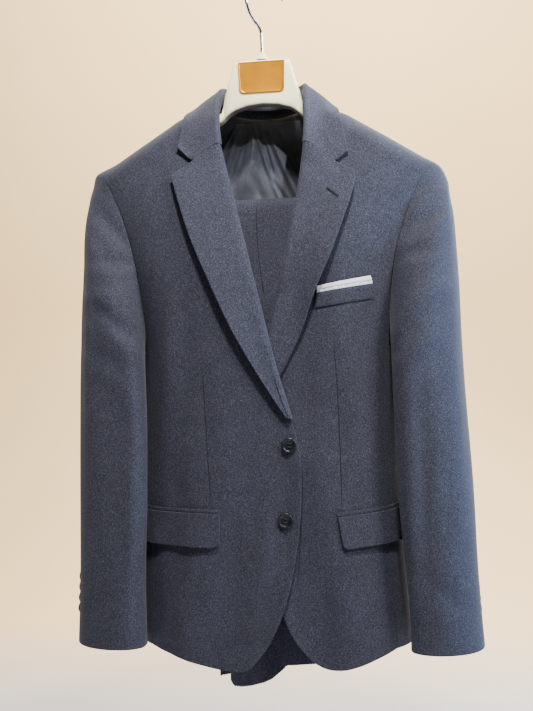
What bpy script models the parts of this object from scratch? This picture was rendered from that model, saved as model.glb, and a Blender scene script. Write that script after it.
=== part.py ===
# A two-piece suit on its hanger: single-breasted jacket with notch lapels, and trousers folded
# over the hanger's bar inside it. Metres, +Z up, the front faces -Y and the wearer's left is +X.
# The origin is the inside top of the hook's loop, where a rail carries the whole suit.
import math

import bmesh
import bpy
import numpy as np

MM = 0.001
CLOTH = 2.0 * MM            # fused worsted cloth of the jacket's panels
TURNED = 2.0 * MM           # two layers turned and pressed: collar, lapels, flaps
LINING = 1.2 * MM
SEAM = 0.20 * MM            # each panel stops this short of its seam line
SHOULDER_SLOPE = 0.63       # fall of the shoulder line for each unit of width
NECK_POINT = (0.064, -0.1695)
NECK_SINK = 0.015           # the panels dip this far under the collar at the neck
SHOULDER_POINT = (0.228, -0.2578)
RIDGE_Y = 0.004             # the shoulder seam lies just behind the hanger's middle
SHOULDER_ROUND = 0.030      # height over which a shoulder rounds away from its seam
SIDE_POWER = 3.2
DEPTH_POWER = 2.2
FRONT_BUTTON = 0.020
CUFF_BUTTON = 0.0135
CUFF_BUTTON_TURN = {"right": -8, "left": -18}
BAR_RADIUS = 0.006
BAR_Z = -0.3195
LEG_THICK = 0.006
WAVES = {-1: 1.0, 1: 0.8}   # strength of the soft falls on each front
TILT = 0.0032               # the shoulders hang this much lower on the wearer's left and higher on the right
HOOK_WIRE = 0.0042
HOOK_LOOP = 0.0255          # radius of the loop's centre line

# drop below the hook, the body's half width, its depth in front of and behind the shoulder line
BODY = np.array([
    # z,     half,  front, back
    [-0.100, 0.330, 0.020, 0.022],
    [-0.150, 0.320, 0.028, 0.032],
    [-0.180, 0.308, 0.036, 0.045],
    [-0.210, 0.292, 0.046, 0.057],
    [-0.250, 0.264, 0.058, 0.066],
    [-0.300, 0.236, 0.071, 0.075],
    [-0.350, 0.215, 0.080, 0.082],
    [-0.400, 0.200, 0.086, 0.086],
    [-0.450, 0.187, 0.089, 0.086],
    [-0.500, 0.178, 0.090, 0.082],
    [-0.620, 0.176, 0.087, 0.068],
    [-0.720, 0.179, 0.086, 0.069],
    [-0.800, 0.183, 0.085, 0.074],
    [-0.940, 0.189, 0.084, 0.078],
])
# front armhole and the seam below it, from the shoulder to the hem, on the wearer's left
FRONT_SIDE = np.array([
    # x,     z
    [0.2280, -0.2578],
    [0.2140, -0.2850],
    [0.2020, -0.3080],
    [0.1890, -0.3420],
    [0.1760, -0.3900],
    [0.1690, -0.4400],
    [0.1670, -0.4780],
    [0.1655, -0.5050],
    [0.1600, -0.5500],
    [0.1560, -0.6200],
    [0.1580, -0.7200],
    [0.1620, -0.8200],
    [0.1660, -0.9090],
])
BACK_SIDE = np.array([
    # x,     z
    [0.2280, -0.2578],
    [0.2160, -0.2860],
    [0.2040, -0.3150],
    [0.1880, -0.3600],
    [0.1760, -0.4100],
    [0.1670, -0.4600],
    [0.1620, -0.4920],
    [0.1570, -0.5080],
    [0.1550, -0.5200],
    [0.1510, -0.5500],
    [0.1455, -0.6200],
    [0.1445, -0.7200],
    [0.1490, -0.8200],
    [0.1540, -0.9090],
])
# inner edge of each front from the neck point: neck, roll line, front edge, then the rounded hem
RIGHT_EDGE = np.array([
    # x,      z
    [-0.0640, -0.1695],
    [-0.0620, -0.1850],
    [-0.0575, -0.2150],
    [-0.0490, -0.2500],
    [-0.0375, -0.2950],
    [-0.0235, -0.3500],
    [-0.0085, -0.4140],
    [0.0070, -0.4790],
    [0.0200, -0.5350],
    [0.0335, -0.5850],
    [0.0440, -0.6200],
    [0.0478, -0.6600],
    [0.0476, -0.7000],
    [0.0440, -0.7450],
    [0.0375, -0.7900],
    [0.0265, -0.8350],
    [0.0120, -0.8750],
    [-0.0060, -0.9060],
    [-0.0230, -0.9260],
])
LEFT_EDGE = np.array([
    # x,      z
    [0.0640, -0.1695],
    [0.0635, -0.1850],
    [0.0620, -0.2150],
    [0.0585, -0.2500],
    [0.0525, -0.2950],
    [0.0420, -0.3500],
    [0.0270, -0.4140],
    [0.0110, -0.4760],
    [-0.0050, -0.5350],
    [-0.0180, -0.5850],
    [-0.0250, -0.6200],
    [-0.0270, -0.6600],
    [-0.0240, -0.7000],
    [-0.0180, -0.7450],
    [-0.0080, -0.7900],
    [0.0080, -0.8350],
    [0.0240, -0.8720],
    [0.0380, -0.9010],
    [0.0560, -0.9205],
])
# hem from the rounded corner to the side
RIGHT_HEM = np.array([
    # x,      z
    [-0.0230, -0.9260],
    [-0.0430, -0.9345],
    [-0.0660, -0.9325],
    [-0.1060, -0.9235],
    [-0.1400, -0.9150],
    [-0.1660, -0.9090],
])
LEFT_HEM = np.array([
    # x,      z
    [0.0560, -0.9205],
    [0.0720, -0.9290],
    [0.0900, -0.9310],
    [0.1150, -0.9265],
    [0.1420, -0.9180],
    [0.1660, -0.9090],
])
# free edge of each lapel from its point at the notch to the break
RIGHT_LAPEL = np.array([
    # x,      z
    [-0.1185, -0.2772],
    [-0.1130, -0.2952],
    [-0.0940, -0.3520],
    [-0.0690, -0.4110],
    [-0.0370, -0.4830],
    [-0.0010, -0.5480],
    [0.0260, -0.5920],
    [0.0365, -0.6080],
])
LEFT_LAPEL = np.array([
    # x,      z
    [0.1265, -0.2766],
    [0.1260, -0.2948],
    [0.1120, -0.3400],
    [0.0930, -0.3920],
    [0.0720, -0.4360],
    [0.0510, -0.4930],
    [0.0180, -0.5520],
    [-0.0130, -0.5900],
])
# the collar from its front end round the neck: fold line, free edge and seam to the neck
COLLAR = np.array([
    # share, fold x, fold y, fold z, edge x, edge y, edge z, seam x, seam y, seam z
    [0.00, 0.0555, -0.0590, -0.2360, 0.1150, -0.0580, -0.2430, 0.0610, -0.0415, -0.2370],
    [0.12, 0.0590, -0.0490, -0.2040, 0.1105, -0.0450, -0.2200, 0.0610, -0.0330, -0.2090],
    [0.25, 0.0600, -0.0320, -0.1730, 0.1060, -0.0290, -0.1975, 0.0600, -0.0240, -0.1860],
    [0.38, 0.0590, -0.0110, -0.1500, 0.1025, -0.0060, -0.1790, 0.0590, -0.0080, -0.1690],
    [0.52, 0.0560, 0.0130, -0.1400, 0.0970, 0.0220, -0.1770, 0.0560, 0.0110, -0.1640],
    [0.68, 0.0465, 0.0370, -0.1370, 0.0830, 0.0480, -0.1830, 0.0470, 0.0330, -0.1620],
    [0.84, 0.0275, 0.0550, -0.1360, 0.0500, 0.0690, -0.1900, 0.0275, 0.0500, -0.1630],
    [1.00, 0.0000, 0.0620, -0.1355, 0.0000, 0.0760, -0.1925, 0.0000, 0.0560, -0.1640],
])
GORGE_DIP = 0.019           # the notch end of the gorge lies this far below the collar's point
NOTCH_SHARE = 0.63          # how far out along the collar's end the gorge seam stops
# a sleeve at each level: outermost x, x of the inner face, middle y, half depth, lean towards the front
SLEEVE = np.array([
    # z,     outer,  inner,  middle, deep,  lean
    [-0.250, 0.2390, 0.2240, 0.004, 0.026, 0.000],
    [-0.268, 0.2485, 0.2140, 0.004, 0.040, 0.003],
    [-0.307, 0.2525, 0.2000, 0.002, 0.056, 0.014],
    [-0.342, 0.2569, 0.1890, -0.001, 0.066, 0.022],
    [-0.400, 0.2590, 0.1760, -0.006, 0.074, 0.030],
    [-0.476, 0.2612, 0.1665, -0.012, 0.076, 0.036],
    [-0.574, 0.2645, 0.1690, -0.019, 0.071, 0.036],
    [-0.687, 0.2677, 0.1755, -0.027, 0.063, 0.038],
    [-0.800, 0.2702, 0.1790, -0.034, 0.055, 0.036],
    [-0.912, 0.2758, 0.1775, -0.040, 0.047, 0.030],
])
# share, angle, depth and height of the soft breaks across each upper arm
SLEEVE_BREAKS = (
    (0.10, 60, 0.0016, 0.030),
    (0.19, 30, 0.0013, 0.030),
    (0.36, 80, 0.0018, 0.045),
    (0.47, 110, 0.0012, 0.040),
)
CUFF_DRIFT_OUT = 0.0048     # towards the wearer's left at the cuff, outer side
CUFF_DRIFT_IN = 0.0075      # the same on the side next to the body
# the armhole ring that the sleeve is sewn to, by the angle round it
ARMHOLE = np.array([
    # angle, x,     y,      z
    [0, 0.2282, 0.0040, -0.2581],
    [10, 0.2267, -0.0156, -0.2612],
    [20, 0.2239, -0.0260, -0.2665],
    [32, 0.2180, -0.0358, -0.2780],
    [48, 0.2033, -0.0413, -0.3060],
    [68, 0.1881, -0.0463, -0.3460],
    [90, 0.1756, -0.0499, -0.3940],
    [114, 0.1691, -0.0472, -0.4440],
    [136, 0.1670, -0.0409, -0.4860],
    [148, 0.1661, -0.0394, -0.5020],
    [160, 0.1752, -0.0266, -0.5086],
    [170, 0.1790, -0.0115, -0.5086],
    [180, 0.1806, 0.0040, -0.5086],
    [200, 0.1752, 0.0315, -0.5086],
    [213, 0.1580, 0.0522, -0.5060],
    [226, 0.1636, 0.0498, -0.4860],
    [248, 0.1694, 0.0524, -0.4480],
    [272, 0.1777, 0.0544, -0.4040],
    [296, 0.1902, 0.0527, -0.3540],
    [316, 0.2056, 0.0491, -0.3120],
    [330, 0.2181, 0.0467, -0.2820],
    [341, 0.2240, 0.0384, -0.2680],
    [351, 0.2270, 0.0253, -0.2612],
])
# angles round a sleeve where its two panels have their columns; the seams lie at both ends
TOP_SLEEVE = np.array([-28, -18, -9, 0, 10, 20, 32, 48, 68, 90, 114, 136, 158])
UNDER_SLEEVE = np.array([158, 169, 180, 200, 213, 226, 248, 272, 296, 316, 332])
# shares of the lining's length and its half width there
LINING_WIDTH = ([0, 0.06, 0.15, 0.35, 0.5, 1.0], [0.046, 0.074, 0.112, 0.128, 0.124, 0.132])
# corners run top inner, top outer, bottom outer, bottom inner
FLAPS = {
    -1: ((-0.0600, -0.7245), (-0.1900, -0.7235), (-0.1900, -0.7680), (-0.0620, -0.7695)),
    1: ((0.0935, -0.7300), (0.1890, -0.7225), (0.1890, -0.7655), (0.1000, -0.7725)),
}
WELT = ((0.0735, -0.4390), (0.1490, -0.4285), (0.1470, -0.4480), (0.0705, -0.4585))
SQUARE = ((0.0745, -0.4285), (0.1445, -0.4165), (0.1475, -0.4283), (0.0738, -0.4386))
# the hanger by its width: top, underside, half depth
HANGER = np.array([
    # x,     top,     under,   deep
    [0.000, -0.1085, -0.1715, 0.0115],
    [0.022, -0.1085, -0.1735, 0.0115],
    [0.038, -0.1095, -0.1785, 0.0115],
    [0.0440, -0.1300, -0.1815, 0.0120],
    [0.0480, -0.1430, -0.1845, 0.0115],
    [0.0520, -0.1540, -0.1875, 0.0100],
    [0.0545, -0.1660, -0.1900, 0.0085],
    [0.0580, -0.1785, -0.1940, 0.0100],
    [0.0800, -0.1825, -0.2060, 0.0165],
    [0.1050, -0.1870, -0.2170, 0.0185],
    [0.1400, -0.2058, -0.2390, 0.0205],
    [0.1800, -0.2310, -0.2630, 0.0215],
    [0.2100, -0.2499, -0.2760, 0.0200],
    [0.2180, -0.2570, -0.2740, 0.0110],
])

COLOURS = {
    "cloth": (0.055, 0.062, 0.090), "lining": (0.060, 0.060, 0.066), "button": (0.016, 0.016, 0.020),
    "hanger": (0.820, 0.790, 0.690), "gold": (0.640, 0.380, 0.100), "chrome": (0.720, 0.720, 0.740),
    "linen": (0.860, 0.850, 0.820),
}
FINISH = {
    # colour name: roughness, metallic
    "cloth": (0.90, 0.0), "lining": (0.38, 0.0), "button": (0.25, 0.0), "hanger": (0.32, 0.0),
    "gold": (0.30, 1.0), "chrome": (0.12, 1.0), "linen": (0.85, 0.0),
}


def clear_scene():
    for thing in list(bpy.data.objects):
        bpy.data.objects.remove(thing, do_unlink=True)


def material(name, colour):
    made = bpy.data.materials.new(name)
    made.use_nodes = True
    shader = made.node_tree.nodes["Principled BSDF"]
    shader.inputs["Base Color"].default_value = (*COLOURS[colour], 1.0)
    shader.inputs["Roughness"].default_value = FINISH[colour][0]
    shader.inputs["Metallic"].default_value = FINISH[colour][1]
    return made


def finish_object(name, mesh, colour, crease=50):
    work = bmesh.new()
    work.from_mesh(mesh)
    bmesh.ops.recalc_face_normals(work, faces=work.faces)
    if work.calc_volume(signed=True) < 0:
        bmesh.ops.reverse_faces(work, faces=work.faces)
    work.to_mesh(mesh)
    work.free()
    mesh.materials.append(material(name, colour))
    mesh.shade_smooth()
    mesh.set_sharp_from_angle(angle=math.radians(crease))
    made = bpy.data.objects.new(name, mesh)
    bpy.context.scene.collection.objects.link(made)
    return made


def hung(points):
    # the whole suit tips a little on its hook, most at the shoulders
    made = np.array(points, float)
    across = ease(np.abs(made[:, 0]), 0.060, 0.115) * np.sign(made[:, 0])
    made[:, 2] -= TILT * across * (1 - ease(-made[:, 2], 0.30, 0.41))
    return made.tolist()


def smooth(table, at, key=0):
    # smooth curve through a table's rows, read at one or many places of its key column
    keys = table[:, key]
    order = np.argsort(keys)
    keys, rows = keys[order], table[order]
    gaps = np.diff(keys)[:, None]
    slopes = np.diff(rows, axis=0) / gaps
    tangents = np.vstack([slopes[:1], 0.5 * (slopes[1:] + slopes[:-1]), slopes[-1:]])
    flat = np.zeros_like(tangents, dtype=bool)
    flat[1:-1] = slopes[1:] * slopes[:-1] <= 0
    tangents[flat] = 0.0
    at = np.clip(np.atleast_1d(at), keys[0], keys[-1])
    span = np.clip(np.searchsorted(keys, at, side="right") - 1, 0, len(keys) - 2)
    width = (keys[span + 1] - keys[span])[:, None]
    t = ((at - keys[span])[:, None]) / width
    low, high = rows[span], rows[span + 1]
    first = (2 * t**3 - 3 * t**2 + 1) * low + (t**3 - 2 * t**2 + t) * width * tangents[span]
    last = (3 * t**2 - 2 * t**3) * high + (t**3 - t**2) * width * tangents[span + 1]
    return first + last


def along(points, shares):
    # points at shares of the length of a smooth curve through the given points
    steps = np.r_[0.0, np.cumsum(np.linalg.norm(np.diff(points, axis=0), axis=1))]
    table = np.column_stack([steps / steps[-1], points])
    return smooth(table, shares)[:, 1:]


def shoulder_line(x):
    straight = NECK_POINT[1] + NECK_SINK - (np.abs(x) - NECK_POINT[0]) * SHOULDER_SLOPE
    return straight - NECK_SINK * (1 - ease(np.abs(x), 0.064, 0.118))


def body_depth(x, z, back=False):
    # distance of the jacket's outer face from the shoulder line's plane
    x, z = np.broadcast_arrays(np.asarray(x, float), np.asarray(z, float))
    row = smooth(BODY, z.ravel())
    half = row[:, 1].reshape(x.shape)
    deep = row[:, 3 if back else 2].reshape(x.shape)
    side = np.clip(1 - np.clip(np.abs(x) / half, 0, 1) ** SIDE_POWER, 0, 1) ** (1 / DEPTH_POWER)
    fall = np.clip((shoulder_line(x) - z) / SHOULDER_ROUND, 0, 1)
    return deep * side * np.sqrt(1 - (1 - fall) ** 2)


def front_y(x, z):
    return RIDGE_Y - body_depth(x, z)


def back_y(x, z):
    return RIDGE_Y + body_depth(x, z, back=True)


def ease(value, low, high):
    t = np.clip((value - low) / (high - low), 0, 1)
    return t * t * (3 - 2 * t)


def tuck(x, z):
    # the wearer's left front lies under the right one, so it runs deeper near the middle
    deep = 0.0050 + 0.0090 * ease(z, -0.66, -0.58)
    return deep * (1 - ease(x, 0.040, 0.110)) * ease(-z, 0.33, 0.45)


def drape(x, z, side):
    # long soft falls of the fronts below the chest
    low = ease(-z, 0.45, 0.80)
    wave = 0.0022 * np.sin((np.abs(x) - 0.02) * 62 + 1.3 * z * 9) * (1 - ease(np.abs(x), 0.115, 0.150))
    return wave * low * WAVES[side]


def front_face(x, z, side):
    y = front_y(x, z) - drape(x, z, side)
    if side > 0:
        y = y + tuck(x, z)
    return y


def trimmed(grid, gap=SEAM, top=None):
    # draws a panel's edges back from their seam lines
    made = grid.copy()
    for near, far in ((0, 1), (-1, -2)):
        step = grid[far] - grid[near]
        pull = top if top is not None and near == 0 else gap
        made[near] = grid[near] + step / np.linalg.norm(step, axis=1)[:, None] * pull
    for near, far in ((0, 1), (-1, -2)):
        step = made[:, far] - made[:, near]
        made[:, near] = made[:, near] + step / np.linalg.norm(step, axis=1)[:, None] * gap
    return made


def slopes(grid, axis):
    # central differences, with the curve's own bend carried to both ends
    count = grid.shape[axis]
    if count < 3:
        return np.gradient(grid, axis=axis)
    made = np.gradient(grid, axis=axis)
    first = [slice(None)] * 3
    second, last, before = list(first), list(first), list(first)
    first[axis], second[axis], last[axis], before[axis] = 0, 1, -1, -2
    for end, near in ((first, second), (last, before)):
        chord, inside = made[tuple(end)], made[tuple(near)]
        chord_way = chord / np.linalg.norm(chord, axis=1)[:, None]
        inside_way = inside / np.linalg.norm(inside, axis=1)[:, None]
        made[tuple(end)] = 2 * chord_way - inside_way
    return made


def face_normals(grid):
    normal = np.cross(slopes(grid, 1), slopes(grid, 0))
    return normal / np.linalg.norm(normal, axis=2)[:, :, None]


def wall(name, grid, thick, colour, outward, crease=50):
    # a closed wall whose outer face is the grid of points; outward says where that face looks
    normal = face_normals(grid)
    middle = normal[grid.shape[0] // 2, grid.shape[1] // 2]
    if np.dot(middle, outward) < 0:
        normal = -normal
    inner = grid - normal * thick
    rows, columns = grid.shape[:2]
    points = np.vstack([grid.reshape(-1, 3), inner.reshape(-1, 3)])
    other = rows * columns
    faces = []
    for i in range(rows - 1):
        for j in range(columns - 1):
            a = i * columns + j
            b, c, d = a + 1, a + columns + 1, a + columns
            faces.append((a, b, c, d))
            faces.append((a + other, d + other, c + other, b + other))
    rim = [j for j in range(columns)]
    rim += [i * columns + columns - 1 for i in range(1, rows)]
    rim += [(rows - 1) * columns + j for j in range(columns - 2, -1, -1)]
    rim += [i * columns for i in range(rows - 2, 0, -1)]
    for a, b in zip(rim, rim[1:] + rim[:1]):
        faces.append((a, a + other, b + other, b))
    mesh = bpy.data.meshes.new(name)
    mesh.from_pydata(hung(points), [], faces)
    return finish_object(name, mesh, colour, crease)


def loft(name, rings, colour, crease=50, recess=None):
    # closed rings joined into a solid with flat ends; recess hollows out the first end
    rings = np.asarray(rings)
    count, size = rings.shape[:2]
    points = [tuple(p) for ring in rings for p in ring]
    faces = []
    for i in range(count - 1):
        for j in range(size):
            k = (j + 1) % size
            faces.append((i * size + j, i * size + k, (i + 1) * size + k, (i + 1) * size + j))
    faces.append(tuple((count - 1) * size + j for j in range(size)))
    if recess is None:
        faces.append(tuple(range(size)))
    else:
        start = len(points)
        for ring in recess:
            points += [tuple(p) for p in ring]
        levels = [0] + [start + n * size for n in range(len(recess))]
        for low, high in zip(levels[:-1], levels[1:]):
            for j in range(size):
                k = (j + 1) % size
                faces.append((low + j, low + k, high + k, high + j))
        faces.append(tuple(levels[-1] + j for j in range(size)))
    mesh = bpy.data.meshes.new(name)
    mesh.from_pydata(hung(points), [], faces)
    return finish_object(name, mesh, colour, crease)


def lathe(name, profile, centre, axis, segments, colour, crease=40):
    # turns (distance along the axis, radius) pairs round an axis
    axis = np.array(axis, float) / np.linalg.norm(axis)
    helper = np.array([0, 0, 1.0]) if abs(axis[2]) < 0.9 else np.array([1.0, 0, 0])
    first = np.cross(helper, axis)
    first /= np.linalg.norm(first)
    second = np.cross(axis, first)
    points, rings, faces = [], [], []
    for height, radius in profile:
        if radius < 1e-6:
            rings.append([len(points)])
            points.append(tuple(np.array(centre) + axis * height))
            continue
        ring = []
        for k in range(segments):
            angle = 2 * math.pi * k / segments
            ring.append(len(points))
            out = first * math.cos(angle) + second * math.sin(angle)
            points.append(tuple(np.array(centre) + axis * height + out * radius))
        rings.append(ring)
    for low, high in zip(rings[:-1], rings[1:]):
        for k in range(segments):
            n = (k + 1) % segments
            if len(low) == 1:
                faces.append((low[0], high[n], high[k]))
            elif len(high) == 1:
                faces.append((low[k], low[n], high[0]))
            else:
                faces.append((low[k], low[n], high[n], high[k]))
    for ring in (rings[0], rings[-1]):
        if len(ring) > 1:
            faces.append(tuple(ring))
    mesh = bpy.data.meshes.new(name)
    mesh.from_pydata(hung(points), [], faces)
    return finish_object(name, mesh, colour, crease)


def patch(top, bottom, start, end, rows, columns):
    # blends a flat grid between four border curves given as functions of a share
    grid = np.zeros((len(rows), len(columns), 2))
    upper, lower = top(columns), bottom(columns)
    near, far = start(rows), end(rows)
    for i, v in enumerate(rows):
        for j, u in enumerate(columns):
            ruled = (1 - u) * near[i] + u * far[i] + (1 - v) * upper[j] + v * lower[j]
            corners = (
                (1 - u) * (1 - v) * near[0] + u * (1 - v) * far[0]
                + (1 - u) * v * near[-1] + u * v * far[-1]
            )
            grid[i, j] = ruled - corners
    return grid


def shoulder_rows(count, first=(0.0, 0.0035, 0.010, 0.020, 0.034, 0.052)):
    rest = np.linspace(first[-1], 1.0, count - len(first) + 1)[1:]
    return np.r_[first, rest]


def mirrored(table, side):
    made = table.copy()
    made[:, 0] = np.abs(made[:, 0]) * side
    return made


def with_corner(rows, table, index):
    # moves the nearest row onto the corner where the armhole meets the side seam
    steps = np.r_[0.0, np.cumsum(np.linalg.norm(np.diff(table, axis=0), axis=1))]
    share = steps[index] / steps[-1]
    made = rows.copy()
    made[np.argmin(np.abs(rows - share))] = share
    return made


def front_panel(name, side, edge, hem):
    outer = mirrored(FRONT_SIDE, side)
    edge = edge.copy()
    turned = ease(-edge[:, 1], 0.16, 0.18) * (1 - ease(-edge[:, 1], 0.612, 0.634))
    edge[:, 0] += side * ROLL_INSET * turned
    rows = with_corner(shoulder_rows(26), FRONT_SIDE, 7)
    columns = np.r_[0.0, 0.035, np.linspace(0.12, 1.0, 10)]

    def seam(shares):
        x = NECK_POINT[0] + (SHOULDER_POINT[0] - NECK_POINT[0]) * shares
        return np.column_stack([x * side, shoulder_line(x)])

    flat = patch(
        seam,
        lambda s: along(hem, s),
        lambda s: along(edge, s),
        lambda s: along(outer, s),
        rows, columns,
    )
    x, z = flat[:, :, 0], flat[:, :, 1]
    grid = np.stack([x, front_face(x, z, side), z], axis=2)
    return wall(name, trimmed(grid, top=0.0006), CLOTH, "cloth", (0, -1, 0))


def back_panel(name, side):
    outer = mirrored(BACK_SIDE, side)
    neck = np.array([[0.0, -0.1780], [0.024 * side, -0.1765], [0.046 * side, -0.1725]])
    middle = np.array([[0.0, -0.1780], [0.0, -0.4000], [0.0, -0.6500], [0.0, -0.9100]])
    hem = np.array([[0.0, -0.9100], [0.080 * side, -0.9100], [0.154 * side, -0.9090]])
    reach = np.linspace(NECK_POINT[0], SHOULDER_POINT[0], 8)
    top = np.vstack([neck, np.column_stack([reach * side, shoulder_line(reach)])])
    steps = np.r_[0.0, np.cumsum(np.linalg.norm(np.diff(top, axis=0), axis=1))]
    columns = steps / steps[-1]

    def upper(shares):
        return np.column_stack([np.interp(shares, columns, top[:, 0]), np.interp(shares, columns, top[:, 1])])

    flat = patch(upper, lambda s: along(hem, s), lambda s: along(middle, s), lambda s: along(outer, s),
                 with_corner(shoulder_rows(20), BACK_SIDE, 7), columns)
    x, z = flat[:, :, 0], flat[:, :, 1]
    grid = np.stack([x, back_y(x, z), z], axis=2)
    return wall(name, trimmed(grid, top=0.0006), CLOTH, "cloth", (0, 1, 0))


def side_panel(name, side):
    levels = np.r_[-0.5100, -0.5210, -0.5350, np.linspace(-0.5580, -0.9090, 13)]
    grid = np.zeros((len(levels), 9, 3))
    fine = np.linspace(0, 1, 600)
    seams = [along(table, fine) for table in (FRONT_SIDE, BACK_SIDE)]
    front, back = [np.interp(-levels, -seam[:, 1], seam[:, 0]) for seam in seams]
    for i, z in enumerate(levels):
        half, ahead, behind = smooth(BODY, z)[0, 1:]
        first = -((1 - (front[i] / half) ** SIDE_POWER) ** (1 / DEPTH_POWER))
        last = (1 - ((back[i] + 0.0008) / half) ** SIDE_POWER) ** (1 / DEPTH_POWER)
        for j, share in enumerate(np.linspace(first, last, 9)):
            x = half * (1 - abs(share) ** DEPTH_POWER) ** (1 / SIDE_POWER)
            y = RIDGE_Y + share * (ahead if share < 0 else behind)
            grid[i, j] = (x * side, y, z)
    return wall(name, trimmed(grid), CLOTH, "cloth", (side, 0, 0))


# section of a lapel where it turns at the roll line: distance from the line and height on the panel
ROLL = np.array([
    [0.0095, -0.0053],
    [0.0050, -0.0052],
    [0.0014, -0.0042],
    [-0.0005, -0.0017],
    [-0.0005, 0.0014],
    [0.0014, 0.0041],
    [0.0052, 0.0052],
])
ROLL_INSET = 0.0042         # a front's own edge lies this far behind its roll line


def lapel(name, side, edge, free, gorge, lift, flat=0.0):
    rows = np.r_[0.0, np.linspace(0.05, 0.975, 16)]
    line = edge[(edge[:, 1] < gorge[1] + 0.004) & (edge[:, 1] > free[-1, 1] - 0.001)]
    last = [np.interp(-free[-1, 1] + 0.0035, -edge[:, 1], edge[:, 0]), free[-1, 1] - 0.0035]
    line = np.vstack([[gorge], line[line[:, 1] < gorge[1] - 0.004], [last]])
    roll = along(line, rows)
    outer = along(free, rows)
    across = np.linspace(0.15, 1.0, 6)
    grid = np.zeros((len(rows), len(ROLL) + len(across), 3))
    for i, v in enumerate(rows):
        way = outer[i] - roll[i]
        width = np.linalg.norm(way)
        way = way / max(width, 1e-6)
        turn = max(0.6, min(1.0, width / 0.010))
        stand = lift * math.sin(math.pi * min(1.0, 0.16 + 0.84 * v)) ** 0.8
        stand *= 1 - flat * float(ease(v, 0.50, 0.75))
        for j, (off, high) in enumerate(ROLL):
            spot = roll[i] + way * off * turn
            grid[i, j] = (spot[0], front_face(spot[0], spot[1], side) - high, spot[1])
        for j, u in enumerate(across):
            spot = roll[i] + way * max(width * u, 0.0035 * turn + 0.0006 * (j + 1))
            high = ROLL[-1, 1] + stand * u ** 1.6
            y = front_face(spot[0], spot[1], side) - high
            grid[i, len(ROLL) + j] = (spot[0], y, spot[1])
    return wall(name, trimmed(grid, 0.00025), TURNED, "cloth", (0, -1, 0), 60)


def lift_off(spot, clear):
    # moves a point out of the jacket's body until it is clear of the outer face
    def level(p):
        deep = max(1e-4, float(smooth(BODY, p[2])[0, 3 if p[1] > RIDGE_Y else 2]))
        half = float(smooth(BODY, p[2])[0, 1])
        side = max(0.05, 1 - (abs(p[0]) / half) ** SIDE_POWER) ** (1 / DEPTH_POWER)
        rise = (shoulder_line(p[0]) - p[2]) / SHOULDER_ROUND
        over = 1 - min(1.0, rise)
        return math.sqrt(((p[1] - RIDGE_Y) / (deep * side)) ** 2 + over**2) - 1

    spot = np.array(spot, float)
    for _ in range(4):
        here = level(spot)
        slope = np.array([(level(spot + step) - here) / 1e-4 for step in np.eye(3) * 1e-4])
        size = np.linalg.norm(slope)
        away = here / size
        if away < clear:
            spot = spot + slope / size * (clear - away)
    return spot


def collar():
    # fold, leaf and stand in one strip that runs from one gorge seam round the neck to the other
    half = np.r_[0.0, 0.04, np.linspace(0.11, 1.0, 10)]
    left = smooth(COLLAR, half)
    right = left[::-1].copy()
    path = np.vstack([left * np.array([1, -1, 1, 1, -1, 1, 1, -1, 1, 1]), right[1:]])
    fold, edge, seam = path[:, 1:4], path[:, 4:7], path[:, 7:10]
    count = len(path)
    shares = np.r_[half, (2 - half[::-1])[1:]]
    # the overlap of the fronts draws both ends towards the wearer's left
    drawn = 1 - ease(np.minimum(shares, 2 - shares), 0.0, 0.3)
    for line in (fold, edge, seam):
        line[:, 0] += 0.0040 * drawn
        line[:, 2] += 0.0020 * drawn * np.where(shares < 1, 1, -1)
    edge[:, 2] += TILT * drawn * np.where(shares < 1, 1, -1)
    ahead = np.gradient(fold, axis=0)
    ahead /= np.linalg.norm(ahead, axis=1)[:, None]
    grid = []
    for i in range(count):
        leaf = edge[i] - fold[i]
        leaf /= np.linalg.norm(leaf)
        crest = -(leaf + (seam[i] - fold[i]) / np.linalg.norm(seam[i] - fold[i]))
        crest -= ahead[i] * np.dot(crest, ahead[i])
        crest /= np.linalg.norm(crest)
        out = leaf - ahead[i] * np.dot(leaf, ahead[i]) - crest * np.dot(leaf, crest)
        out /= np.linalg.norm(out)
        down = -crest
        near = min(shares[i], 2 - shares[i])
        wide = 1.55 - 0.55 * float(ease(near, 0.0, 0.35))
        section = [seam[i] - out * 0.0022, 0.5 * (seam[i] + fold[i]) - out * 0.0032]
        for off, high in ((-0.0032, 0.0040), (-0.0027, 0.0014), (-0.0010, 0.0), (0.0010, 0.0),
                          (0.0027, 0.0014), (0.0034, 0.0040)):
            section.append(fold[i] + out * off * wide + down * high)
        start = section[-1]
        dip = GORGE_DIP * (1 - ease(near, 0.0, 0.24))
        for u in (0.18, 0.36, 0.50, NOTCH_SHARE, 0.82, 1.0):
            spot = start + (edge[i] - start) * u
            bulge = 0.0012 * math.sin(math.pi * u)
            spot = spot + out * bulge
            sink = u / NOTCH_SHARE if u <= NOTCH_SHARE else (1 - u) / (1 - NOTCH_SHARE)
            spot[2] -= dip * sink
            section.append(lift_off(spot, 0.0038 + 0.0014 * (1 - float(ease(near, 0.25, 0.42)))))
        grid.append(section)
    return wall("collar", trimmed(np.array(grid), 0.00025), TURNED, "cloth", (0, 1, 0.6), 60)


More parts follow.
